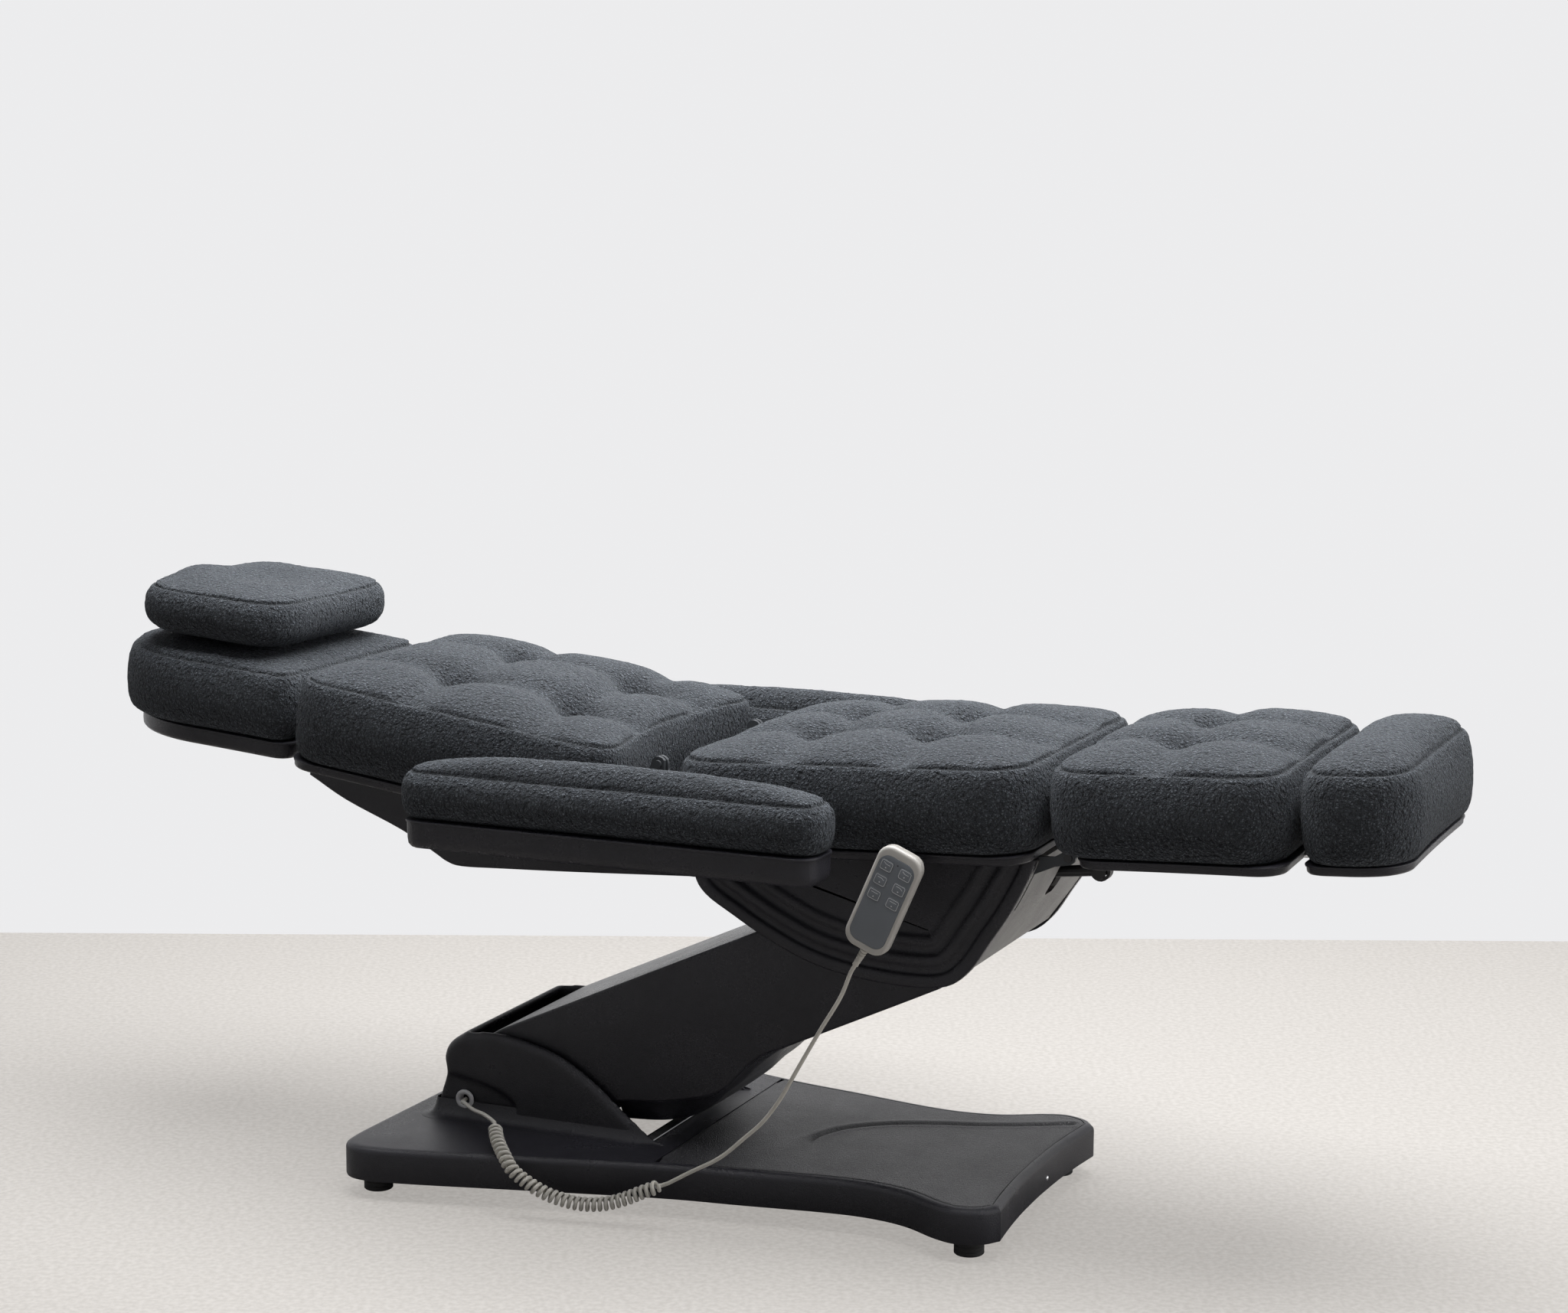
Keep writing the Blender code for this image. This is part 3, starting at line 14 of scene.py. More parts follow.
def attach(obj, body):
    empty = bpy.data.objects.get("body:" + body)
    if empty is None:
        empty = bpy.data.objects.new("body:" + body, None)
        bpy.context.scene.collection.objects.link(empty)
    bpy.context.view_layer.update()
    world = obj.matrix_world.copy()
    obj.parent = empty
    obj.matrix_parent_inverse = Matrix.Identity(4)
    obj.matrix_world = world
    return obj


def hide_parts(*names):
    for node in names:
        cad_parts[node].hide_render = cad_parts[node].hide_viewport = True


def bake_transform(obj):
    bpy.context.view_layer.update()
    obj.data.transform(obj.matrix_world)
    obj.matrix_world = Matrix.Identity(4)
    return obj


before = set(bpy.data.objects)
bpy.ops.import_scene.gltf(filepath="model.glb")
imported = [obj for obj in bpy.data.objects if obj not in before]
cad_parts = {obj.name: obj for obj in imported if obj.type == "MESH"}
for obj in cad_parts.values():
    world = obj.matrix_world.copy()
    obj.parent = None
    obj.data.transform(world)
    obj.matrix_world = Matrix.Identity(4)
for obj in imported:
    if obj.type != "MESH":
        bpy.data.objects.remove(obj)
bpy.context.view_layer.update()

# Studio: a pale floor, a pale wall that is seen through from behind, one broad soft lamp overhead,
# one tall soft lamp beyond the foot end, and the camera where the photograph was taken.
CAMERA_SPOT = (1.898, -4.2, 1.52)
HEADING, DIP, ROLL = 23.6, 8.785, 0.32


def turned_by(degrees, axis):
    return Matrix.Rotation(math.radians(degrees), 4, axis)


def placed(name, data):
    """A new object in the scene that holds the data."""
    made = bpy.data.objects.new(name, data)
    bpy.context.scene.collection.objects.link(made)
    return made


camera_data = bpy.data.cameras.new("studio_camera")
camera_data.sensor_fit = 'HORIZONTAL'
camera_data.sensor_width = 36.0
camera_data.lens = 70.93
camera = placed("studio_camera", camera_data)
camera.matrix_world = (Matrix.Translation(CAMERA_SPOT) @ turned_by(HEADING, 'Z')
                       @ turned_by(90 - DIP, 'X') @ turned_by(ROLL, 'Z'))
bpy.context.scene.camera = camera
bpy.context.scene.view_settings.view_transform = 'Standard'


class Nodes:
    """A node tree and shorthands for adding to it."""

    def __init__(self, tree):
        self.tree = tree

    def fill(self, socket, value):
        """Link a socket to another node's output, or set its value."""
        if isinstance(value, bpy.types.NodeSocket):
            self.tree.links.new(value, socket)
        else:
            socket.default_value = value

    def add(self, kind, *values, **settings):
        """A node: values fill its first sockets, and a setting with a capital letter is a socket too."""
        node = self.tree.nodes.new("ShaderNode" + kind)
        for number, value in enumerate(values):
            self.fill(node.inputs[number], value)
        for key, value in settings.items():
            if key[0].isupper():
                self.fill(node.inputs[key.replace("_", " ")], value)
            else:
                setattr(node, key, value)
        return node

    def worked(self, operation, *values):
        """What an operation makes of numbers and other nodes' outputs."""
        return self.add("Math", *values, operation=operation).outputs[0]


class Finish(Nodes):
    """A material: its shader, the piece's own coordinates, and what its looks are made of."""

    def __init__(self, name, colour, roughness, metallic=0.0):
        self.material = bpy.data.materials.new(name)
        self.material.use_nodes = True
        super().__init__(self.material.node_tree)
        self.shader = self.tree.nodes["Principled BSDF"]
        self.feed(Base_Color=(*colour, 1.0), Roughness=roughness, Metallic=metallic)
        self.place = self.add("TexCoord").outputs["Object"]

    def feed(self, **settings):
        """Set or link sockets of the shader."""
        for key, value in settings.items():
            self.fill(self.shader.inputs[key.replace("_", " ")], value)

    def surface(self, share, first, second):
        """Show a mix of two shaders."""
        mix = self.add("MixShader", share, first, second)
        self.fill(self.tree.nodes["Material Output"].inputs["Surface"], mix.outputs[0])

    def noise(self, scale, detail, **settings):
        return self.add("TexNoise", Vector=self.place, Scale=scale, Detail=detail, **settings).outputs["Fac"]

    def ramp(self, source, *stops):
        """A colour that runs through stops, each a value of the source and a colour."""
        node = self.add("ValToRGB", source)
        shades = node.color_ramp.elements
        for shade, (position, colour) in zip((shades[0], shades[1]), (stops[0], stops[-1])):
            shade.position, shade.color = position, (*colour, 1.0)
        for position, colour in stops[1:-1]:
            shades.new(position).color = (*colour, 1.0)
        return node.outputs[0]

    def ranged(self, source, low, high, first, last):
        """A number that runs from first to last while its source runs from low to high."""
        return self.add("MapRange", source, low, high, first, last).outputs[0]

    def bump(self, height, strength, distance):
        node = self.add("Bump", Height=height, Strength=strength, Distance=distance)
        self.feed(Normal=node.outputs[0])


pale = Finish("pale_floor", (0.295, 0.282, 0.268), 0.75)
FLOOR = pale.material
tone = pale.ramp(pale.noise(110.0, 3.0), (0.35, (0.275, 0.262, 0.248)), (0.65, (0.315, 0.302, 0.288)))
pale.feed(Base_Color=tone)
seen = pale.worked('MULTIPLY', pale.add("LightPath").outputs["Is Camera Ray"], 0.45)
pale.surface(seen, pale.shader.outputs[0], pale.add("Emission", tone, 3.05).outputs[0])

pale = Finish("pale_wall", (0.8, 0.8, 0.81), 0.9)
WALL = pale.material
rays = pale.add("LightPath").outputs
seen = pale.worked('MAXIMUM', rays["Is Camera Ray"], rays["Is Glossy Ray"])
glow = pale.add("Emission", (0.84, 0.84, 0.85, 1.0), 1.0).outputs[0]
front = pale.add("MixShader", seen, pale.shader.outputs[0], glow).outputs[0]
pale.surface(pale.add("NewGeometry").outputs["Backfacing"], front, pale.add("BsdfTransparent").outputs[0])

WALL_PLACE, WALL_TOP, REACH = 1.5, 8, 12
for name, finish, lines in (("studio_floor", FLOOR, ((-REACH, 0), (REACH, 0))),
                            ("studio_wall", WALL, ((WALL_PLACE, 0), (WALL_PLACE, WALL_TOP)))):
    mesh = bpy.data.meshes.new(name)
    (near, low), (far, high) = lines
    mesh.from_pydata([(-REACH, near, low), (REACH, near, low), (REACH, far, high), (-REACH, far, high)], [],
                     [(0, 1, 2, 3)])
    mesh.materials.append(finish)
    stage = placed(name, mesh)
    stage.matrix_world = turned_by(HEADING, 'Z')


def soft_lamp(name, spot, aim, width, height, power):
    data = bpy.data.lights.new(name, 'AREA')
    data.shape = 'RECTANGLE'
    data.size, data.size_y, data.energy = width, height, power
    lamp = placed(name, data)
    lamp.location = spot
    lamp.rotation_mode = 'QUATERNION'
    lamp.rotation_quaternion = (Vector(aim) - Vector(spot)).to_track_quat('-Z', 'Y')


soft_lamp("overhead_lamp", (0.3, 0.12, 3.0), (0.3, 0.1, 0.5), 3.4, 1.9, 240)
soft_lamp("foot_end_lamp", (4.2, 0.6, 1.5), (0.4, 0.0, 0.5), 2.4, 2.4, 60)
world = bpy.data.worlds.new("studio_air")
bpy.context.scene.world = world
world.use_nodes = True
sky = Nodes(world.node_tree)
air = sky.tree.nodes["Background"]
sky.fill(air.inputs["Color"], (0.97, 0.98, 1.0, 1.0))
sky.fill(air.inputs["Strength"], 0.06)
rays = sky.add("LightPath").outputs
seen = rays["Is Camera Ray"]
for other in ("Is Glossy Ray", "Is Transmission Ray"):
    seen = sky.worked('MAXIMUM', seen, rays[other])
backdrop = sky.add("Background", (0.78, 0.78, 0.79, 1.0), 1.0)
choice = sky.add("MixShader", seen, air.outputs[0], backdrop.outputs[0])
sky.fill(sky.tree.nodes["World Output"].inputs["Surface"], choice.outputs[0])


# Base cover: one vacuum-formed slab of black ABS with a fine pressed grain. It is pinched at its
# waist, its top edge is rolled, and it drops over the steel chassis and is held by side screws.
def moulded_plastic(name, colour, roughness, grain, depth, sheen=0.25):
    """Moulded plastic: pressed grain, uneven gloss and faint handling marks."""
    mix = Finish(name, colour, roughness)
    dust = mix.noise(9.0, 6.0, Roughness=0.7)
    mix.feed(Base_Color=mix.ramp(dust, (0.3, [0.82 * c for c in colour]),
                                 (0.7, [1.25 * c + 0.002 for c in colour])),
             Roughness=mix.ranged(dust, 0.3, 0.7, roughness + 0.05, roughness - 0.05),
             Specular_IOR_Level=sheen)
    cells = mix.add("TexVoronoi", Vector=mix.place, feature='DISTANCE_TO_EDGE', Scale=1.0 / grain)
    mix.bump(mix.worked('ADD', cells.outputs["Distance"], mix.noise(0.6 / grain, 2.0)), 0.8, depth)
    return mix.material


SATIN = moulded_plastic("satin_black_plastic", (0.021, 0.0205, 0.026), 0.29, 0.0013, 0.00055)
BLACK = moulded_plastic("black_plastic", (0.021, 0.0205, 0.0255), 0.42, 0.0011, 0.0003)
LEATHER_GRAIN = moulded_plastic("leather_grained_plastic", (0.016, 0.0158, 0.019), 0.36, 0.0021, 0.0024, 0.5)
# Painted light: a pale colour on black plastic that stands in for the bright floor reflected and lit on a
# downward-facing sheet.
PAINTED_LIGHT_PLASTIC = moulded_plastic("painted_light_plastic", (0.23, 0.226, 0.22), 0.5, 0.0021, 0.0016, 0.5)


def through(points, steps):
    """A smooth open curve through the points, with its ends kept."""
    vectors = [Vector(p) for p in points]
    padded = [2 * vectors[0] - vectors[1]] + vectors + [2 * vectors[-1] - vectors[-2]]
    spots = []
    for i in range(1, len(padded) - 2):
        a, b, c, d = padded[i - 1:i + 3]
        for k in range(steps):
            t = k / steps
            spots.append(0.5 * (2 * b + (c - a) * t + (2 * a - 5 * b + 4 * c - d) * t ** 2
                                + (3 * b - a - 3 * c + d) * t ** 3))
    spots.append(vectors[-1])
    return spots


def eased(outline, reach, steps=4):
    """A closed outline whose corners are rounded off over a reach along both sides."""
    spots = []
    count = len(outline)
    for i in range(count):
        before, here, after = (Vector(outline[(i + k) % count]) for k in (-1, 0, 1))
        first = here.lerp(before, min(reach / (before - here).length, 0.48))
        last = here.lerp(after, min(reach / (after - here).length, 0.48))
        for k in range(steps + 1):
            t = k / steps
            spots.append(first * (1 - t) ** 2 + here * 2 * t * (1 - t) + last * t ** 2)
    return spots


def drawn_in(outline, inset):
    """A closed outline moved inwards by an inset, its points kept in order."""
    area = sum(a.x * b.y - b.x * a.y for a, b in zip(outline, outline[1:] + outline[:1]))
    turn = 1.0 if area > 0 else -1.0
    spots = []
    for i, here in enumerate(outline):
        along = (outline[(i + 1) % len(outline)] - outline[i - 1]).normalized()
        spots.append(here + inset * turn * Vector((-along.y, along.x)))
    return spots


def ring_faces(bm, rings):
    """Faces between closed rings of vertices, one ring after another."""
    for first, second in zip(rings, rings[1:]):
        for i in range(len(first)):
            j = (i + 1) % len(first)
            bm.faces.new((first[i], first[j], second[j], second[i]))


def loft(rings, looped=False):
    """A skin over rings of points, capped at both ends or joined from the last ring to the first."""
    bm = bmesh.new()
    made = [[bm.verts.new(p) for p in ring] for ring in rings]
    if looped:
        ring_faces(bm, made + made[:1])
    else:
        ring_faces(bm, made)
        bm.faces.new(made[0])
        bm.faces.new(made[-1])
    return bm


def prism(outline, low, high, axis='Y', ease=0.0):
    """An outline pushed through from low to high, with rolled edges where ease is given."""
    outline = [Vector(p) for p in outline]
    levels = [(0.0, low), (0.0, high)]
    if ease:
        roll = [(ease * (1 - math.cos(a)), ease * (1 - math.sin(a))) for a in
                [math.radians(90 * k / 4) for k in range(5)]]
        levels = [(i, low + d) for i, d in reversed(roll)] + [(i, high - d) for i, d in roll]
    rings = []
    for inset, depth in levels:
        ring = drawn_in(outline, inset) if inset else outline
        rings.append([(p.x, depth, p.y) if axis == 'Y' else (p.x, p.y, depth) for p in ring])
    return loft(rings)


def box(low, high, ease=0.0):
    outline = [(low[0], low[1]), (high[0], low[1]), (high[0], high[1]), (low[0], high[1])]
    if ease:
        outline = eased(outline, ease * 1.2, 3)
    return prism(outline, low[2], high[2], 'Z', ease)


def mesh_of(name, bm, finish=None, plane=None):
    """A bmesh as a mesh of one finish, moved to its plane, with its faces turned outwards."""
    if plane is not None:
        bm.transform(plane)
    bmesh.ops.recalc_face_normals(bm, faces=bm.faces)
    mesh = bpy.data.meshes.new(name)
    bm.to_mesh(mesh)
    bm.free()
    if finish is not None:
        mesh.materials.append(finish)
    return mesh


def smoothed(mesh, sharp):
    """Shade a mesh smooth except where its faces meet at more than an angle."""
    mesh.shade_smooth()
    mesh.set_sharp_from_angle(angle=math.radians(sharp))
    return mesh


def show(name, bm, finish, body, stands_for=(), sharp=35.0, plane=None):
    """Turn a bmesh into a named piece with its finish, hang it on its body and hide the solids it stands for.
    """
    piece = placed(name, smoothed(mesh_of(name, bm, finish, plane), sharp))
    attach(piece, body)
    if stands_for:
        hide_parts(*stands_for)
    return piece


def settled(piece, sharp):
    """Keep what a piece's modifiers make of it as its own mesh."""
    bpy.context.view_layer.update()
    graph = bpy.context.evaluated_depsgraph_get()
    mesh = bpy.data.meshes.new_from_object(piece.evaluated_get(graph), preserve_all_data_layers=True,
                                           depsgraph=graph)
    piece.modifiers.clear()
    piece.data = smoothed(mesh, sharp)


def carved(piece, tools, sharp=35.0, plane=None):
    """Cut solids out of a piece and throw them away afterwards."""
    made = []
    for number, bm in enumerate(tools):
        made.append(placed("tool", mesh_of("tool", bm, None, plane)))
        step = piece.modifiers.new("cut_%d" % number, 'BOOLEAN')
        step.operation, step.object = 'DIFFERENCE', made[-1]
    settled(piece, sharp)
    for tool in made:
        bpy.data.objects.remove(tool, do_unlink=True)


SLAB_TOP, SKIRT = 0.08, 0.028
SLAB_SIDE = [(-0.51, 0.0), (-0.515, 0.2), (-0.516, 0.3), (-0.507, 0.338), (-0.472, 0.356), (-0.4, 0.345),
             (-0.24, 0.302), (-0.03, 0.247), (0.1, 0.225), (0.22, 0.204), (0.29, 0.2), (0.35, 0.212),
             (0.405, 0.241), (0.443, 0.251), (0.478, 0.238), (0.497, 0.213)]
SLAB_END = [(0.497, 0.213), (0.49, 0.15), (0.485, 0.08), (0.483, 0.0)]
half_slab = through(SLAB_SIDE, 5)[1:-1] + through(SLAB_END, 5)[:-1]
slab = ([Vector((p.x, -p.y)) for p in half_slab] + [Vector(SLAB_END[-1])]
        + [Vector((p.x, p.y)) for p in reversed(half_slab)] + [Vector(SLAB_SIDE[0])])
SLAB_ROLL = [(0.0035, SKIRT), (0.0008, SKIRT + 0.0006), (0.0, SKIRT + 0.003), (0.0, 0.0705), (0.0006, 0.0736),
             (0.0021, 0.0762), (0.0045, 0.0783), (0.0078, 0.0796), (0.0112, SLAB_TOP)]
rings = [[(p.x, p.y, z) for p in drawn_in(slab, inset)] for inset, z in SLAB_ROLL]
base_cover = show("base_cover_shell", loft(rings), SATIN, "base", ["base_cover"])
PLATE_START = -0.04
plate_seat = [p for p in drawn_in(slab, 0.013) if p.x > PLATE_START]
carved(base_cover, [
    prism(drawn_in(slab, 0.006), 0.0, 0.07, 'Z'),
    box((-0.43, -0.147, 0.06), (-0.105, 0.147, 0.1)),
    prism([(PLATE_START, plate_seat[0].y)] + [tuple(p) for p in plate_seat]
          + [(PLATE_START, plate_seat[-1].y)], 0.0745, 0.09, 'Z')], 30)

# Top plate: a separate sheet with a coarse leather grain, let into the slab behind a thin gap.
# A shallow groove is pressed into it and sweeps from the middle to the far corner.
GROOVE = through([(0.138, -0.062), (0.13, -0.04), (0.134, -0.01), (0.158, 0.038), (0.213, 0.085),
                  (0.28, 0.116), (0.339, 0.135), (0.41, 0.168), (0.466, 0.2)], 6)
PLATE_TOP, PLATE_LOW, PLATE_INSET = 0.0806, 0.075, 0.0142
plate_edge = [p for p in drawn_in(slab, PLATE_INSET) if p.x > PLATE_START - 0.02 and p.y <= 0.0]
corner = max(plate_edge, key=lambda p: p.x)
plate_end = plate_edge[plate_edge.index(corner):] + [Vector((SLAB_END[-1][0] - PLATE_INSET, 0.0))]


def crossing(edge, level, axis, otherwise):
    """Where a line of points crosses a level of X (axis 0) or of Y (axis 1)."""
    for first, second in zip(edge, edge[1:]):
        if first[axis] <= level <= second[axis]:
            return first.lerp(second, (level - first[axis]) / (second[axis] - first[axis]))
    return otherwise


def groove_depth(x, y):
    """A pressed groove, deepest along its line and fading at its inner end."""
    best, place = 1.0, 0
    for i, (first, second) in enumerate(zip(GROOVE, GROOVE[1:])):
        span = second - first
        t = min(max((Vector((x, y)) - first).dot(span) / span.length_squared, 0.0), 1.0)
        away = (first + span * t - Vector((x, y))).length
        if away < best:
            best, place = away, i + t
    fade = min(1.0, place / 9.0)
    sunk = 0.0046 * fade * math.exp(-(best / 0.005) ** 2)
    return sunk - 0.001 * fade * math.exp(-((best - 0.012) / 0.006) ** 2)


def sheet_faces(bm, rows):
    """Faces between rows of vertices that lie side by side."""
    for first, second in zip(rows, rows[1:]):
        for j in range(len(first) - 1):
            bm.faces.new((first[j], second[j], second[j + 1], first[j + 1]))


def sheet(rows, other_side):
    """A sheet over rows of points, whose other side lies at the heights that a function gives."""
    bm = bmesh.new()
    sheet_faces(bm, [[bm.verts.new(p) for p in row] for row in rows])
    doubled = bmesh.ops.extrude_face_region(bm, geom=list(bm.faces))
    for vert in [v for v in doubled["geom"] if isinstance(v, bmesh.types.BMVert)]:
        vert.co.z = other_side(vert.co.z)
    return bm


rows = []
ALONG, ACROSS = 150, 120
for i in range(ALONG + 1):
    row = []
    for j in range(ACROSS + 1):
        v = 2 * j / ACROSS - 1
        v = math.copysign(1 - (1 - abs(v)) ** 1.12, v)
        end = crossing(plate_end, abs(v) * corner.y, 1, plate_end[-1]).x
        x = PLATE_START + 0.001 + (end - PLATE_START - 0.001) * i / ALONG
        y = v * -crossing(plate_edge, x, 0, corner).y
        edge = min(1.0, (1 - abs(v)) * 60, (ALONG - i) / 2, i)
        row.append((x, y, PLATE_TOP - groove_depth(x, y) - 0.0012 * (1 - edge) ** 2))
    rows.append(row)
show("base_top_plate", sheet(rows, lambda z: PLATE_LOW), LEATHER_GRAIN, "base",
     ["top_plate"], 50)


# Side screws: domed chrome heads with a cross slot, one in the near side and one in the end face.
def lathed(profile, centre, axis, sides=28, looped=False):
    """A profile of radius and height turned about an axis through the centre."""
    turn = Vector(axis).to_track_quat('Z', 'Y')
    rings = []
    for radius, height in profile:
        rings.append([Vector(centre) + turn @ Vector((radius * math.cos(2 * math.pi * k / sides),
                                                      radius * math.sin(2 * math.pi * k / sides), height))
                      for k in range(sides)])
    return loft(rings, looped)


def brushed_metal(name, colour, roughness, metallic=1.0, grain=300.0):
    """Metal with fine drawn lines, cloudy gloss and a little grime."""
    mix = Finish(name, colour, roughness, metallic)
    cloud = mix.noise(14.0, 5.0)
    mix.feed(Base_Color=mix.ramp(cloud, (0.3, [0.8 * c for c in colour]),
                                 (0.7, [min(1.0, 1.12 * c) for c in colour])),
             Roughness=mix.ranged(cloud, 0.0, 1.0, roughness * 0.7, roughness * 1.4))
    mix.bump(mix.noise(grain, 4.0), 0.35, 0.0002)
    return mix.material


CHROME = brushed_metal("chrome", (0.72, 0.72, 0.73), 0.14)
STEEL = brushed_metal("bright_steel", (0.5, 0.5, 0.51), 0.32)
PAINTED = brushed_metal("black_painted_steel", (0.022, 0.022, 0.024), 0.42, 0.25, 700.0)
DOME = [(0.0, -0.002), (0.004, -0.002), (0.004, 0.0), (0.0037, 0.001), (0.0028, 0.0018), (0.0015, 0.0023),
        (0.0004, 0.0024)]
for number, (spot, out) in enumerate((((-0.03, -0.2472, 0.047), (-0.16, -1.0, 0.0)),
                                      ((0.4835, 0.03, 0.047), (1.0, 0.0, 0.0)))):
    screw = show("side_screw_%d" % number, lathed(DOME, spot, out), CHROME, "base")
    turn = Vector(out).to_track_quat('Z', 'Y').to_matrix().to_4x4()
    slots = [box((-wide / 2, -tall / 2, 0.0013), (wide / 2, tall / 2, 0.004))
             for wide, tall in ((0.0044, 0.0008), (0.0008, 0.0044))]
    carved(screw, slots, 35, Matrix.Translation(spot) @ turn)


# Levelling feet: ribbed rubber pads on threaded stems with a hexagon nut, one under each corner.
def fine_skin(name, colour, roughness, cloud, stops, relief, strength, depth):
    """A plain skin of cloudy colour and fine relief; cloud and relief are a noise's scale and detail."""
    mix = Finish(name, colour, roughness)
    mix.feed(Base_Color=mix.ramp(mix.noise(*cloud), *stops))
    mix.bump(mix.noise(*relief), strength, depth)
    return mix.material


RUBBER = fine_skin("black_rubber", (0.011, 0.011, 0.011), 0.75, (420.0, 5.0),
                   ((0.3, (0.007, 0.007, 0.007)), (0.75, (0.02, 0.019, 0.018))), (420.0, 5.0), 0.6, 0.0004)
FOOT_PAD = [(0.0004, 0.0), (0.0205, 0.0), (0.022, 0.0015), (0.022, 0.006), (0.0212, 0.0068), (0.022, 0.0076),
            (0.022, 0.013), (0.0212, 0.0138), (0.0218, 0.0146), (0.0214, 0.0205), (0.019, 0.0235),
            (0.01, 0.0245), (0.0004, 0.0245)]
FOOT_STEM = [(0.0004, 0.02)]
for k in range(9):
    FOOT_STEM += [(0.008, 0.0215 + 0.002 * k), (0.0068, 0.0225 + 0.002 * k)]
FOOT_STEM += [(0.0004, 0.0396)]
NUT_REACH = 0.0145
FEET = {"head_near": (-0.474, -0.3), "head_far": (-0.474, 0.3), "foot_near": (0.445, -0.2),
        "foot_far": (0.445, 0.2)}
for corner_name, (x, y) in FEET.items():
    show("foot_pad_" + corner_name, lathed(FOOT_PAD, (x, y, 0.0), (0, 0, 1), 40), RUBBER, "base",
         ["levelling_foot_" + corner_name], 30)
    show("foot_stem_" + corner_name, lathed(FOOT_STEM, (x, y, 0.0), (0, 0, 1), 20), STEEL, "base")
    nut = [(x + NUT_REACH * math.cos(math.radians(a)), y + NUT_REACH * math.sin(math.radians(a)))
           for a in range(0, 360, 60)]
    show("foot_nut_" + corner_name, prism(nut, 0.025, 0.032, 'Z', 0.0008), STEEL, "base")


# Chassis: welded steel tube under the slab, painted black, with the motors' control box between its rails.
def finish_nodes(finish, *names):
    """Give a CAD solid that stays in view its finish."""
    for name in names:
        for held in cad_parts[name].material_slots:
            held.material = finish


finish_nodes(PAINTED, "chassis_frame", "pivot_stand")
finish_nodes(BLACK, "control_box")
lid_screw = [(0.0002, 0.0), (0.003, 0.0), (0.0026, 0.0012), (0.0002, 0.0016)]
for number, (x, y) in enumerate(((-0.042, -0.087), (0.142, -0.087), (-0.042, 0.087), (0.142, 0.087))):
    show("control_box_screw_%d" % number, lathed(lid_screw, (x, y, 0.07), (0, 0, 1), 16), STEEL,
         "base")

# Hood: a soft moulded tower on the slab that hides the foot of the arm. Its side walls end in a
# thick rolled rim, a pocket is pressed round the cord's outlet, and its foot flares into the slab.
HOOD_HALF = 0.1625
HOOD_REAR = [(-0.472, 0.0795), (-0.4545, 0.094), (-0.446, 0.118), (-0.437, 0.148), (-0.44, 0.173),
             (-0.43, 0.196), (-0.402, 0.216)]
HOOD_FRONT = [(-0.402, 0.216), (-0.352, 0.2215), (-0.295, 0.2145), (-0.236, 0.197), (-0.177, 0.162),
              (-0.125, 0.12), (-0.086, 0.09), (-0.064, 0.0795)]
hood_outline = through(HOOD_REAR, 4)[:-1] + through(HOOD_FRONT, 5)
HOOD_ROLL = 0.0125
rolls = [(HOOD_ROLL * (1 - math.cos(math.radians(a))), HOOD_ROLL * math.sin(math.radians(a)))
         for a in (90, 70, 52, 36, 20, 8, 0)]
levels = [(inset, -HOOD_HALF + HOOD_ROLL - out) for inset, out in rolls]
levels += [(inset, HOOD_HALF - HOOD_ROLL + out) for inset, out in reversed(rolls)]
rings = []
for inset, depth in levels:
    ring = drawn_in(hood_outline, inset)
    rings.append([(p.x, depth, min(p.y, 0.3) if q.y > 0.085 else q.y) for p, q in zip(ring, hood_outline)])
hood = show("arm_hood", loft(rings), SATIN, "base", ["tower_hood"])
POCKET = [(-0.53, 0.092), (-0.53, 0.15), (-0.43, 0.15), (-0.356, 0.137), (-0.322, 0.122), (-0.308, 0.106),
          (-0.32, 0.0925), (-0.35, 0.086), (-0.43, 0.086)]
pockets = [prism(eased(POCKET, 0.02), *sorted((side * 0.1568, side * 0.19))) for side in (-1, 1)]
HOOD_INSIDE = [(-0.434, 0.06), (-0.425, 0.15), (-0.428, 0.172), (-0.418, 0.19), (-0.397, 0.206),
               (-0.397, 0.26), (0.02, 0.26), (0.02, 0.06)]
carved(hood, pockets + [prism(HOOD_INSIDE, -0.152, 0.152)])
fine = hood.modifiers.new("even_skin", 'REMESH')
fine.mode, fine.voxel_size = 'VOXEL', 0.003
ease = hood.modifiers.new("soft_edges", 'SMOOTH')
ease.factor, ease.iterations = 0.5, 14
settled(hood, 80)
GROMMET = (-0.402, 0.109)
carved(hood, [lathed([(0.0122, -0.175), (0.0122, -0.14)], (GROMMET[0], 0.0, GROMMET[1]), (0, 1, 0), 24),
              box((-0.49, 0.034, 0.094), (-0.4, 0.086, 0.126)),
              box((-0.5, -0.3, 0.06), (0.0, 0.3, 0.08))], 80)

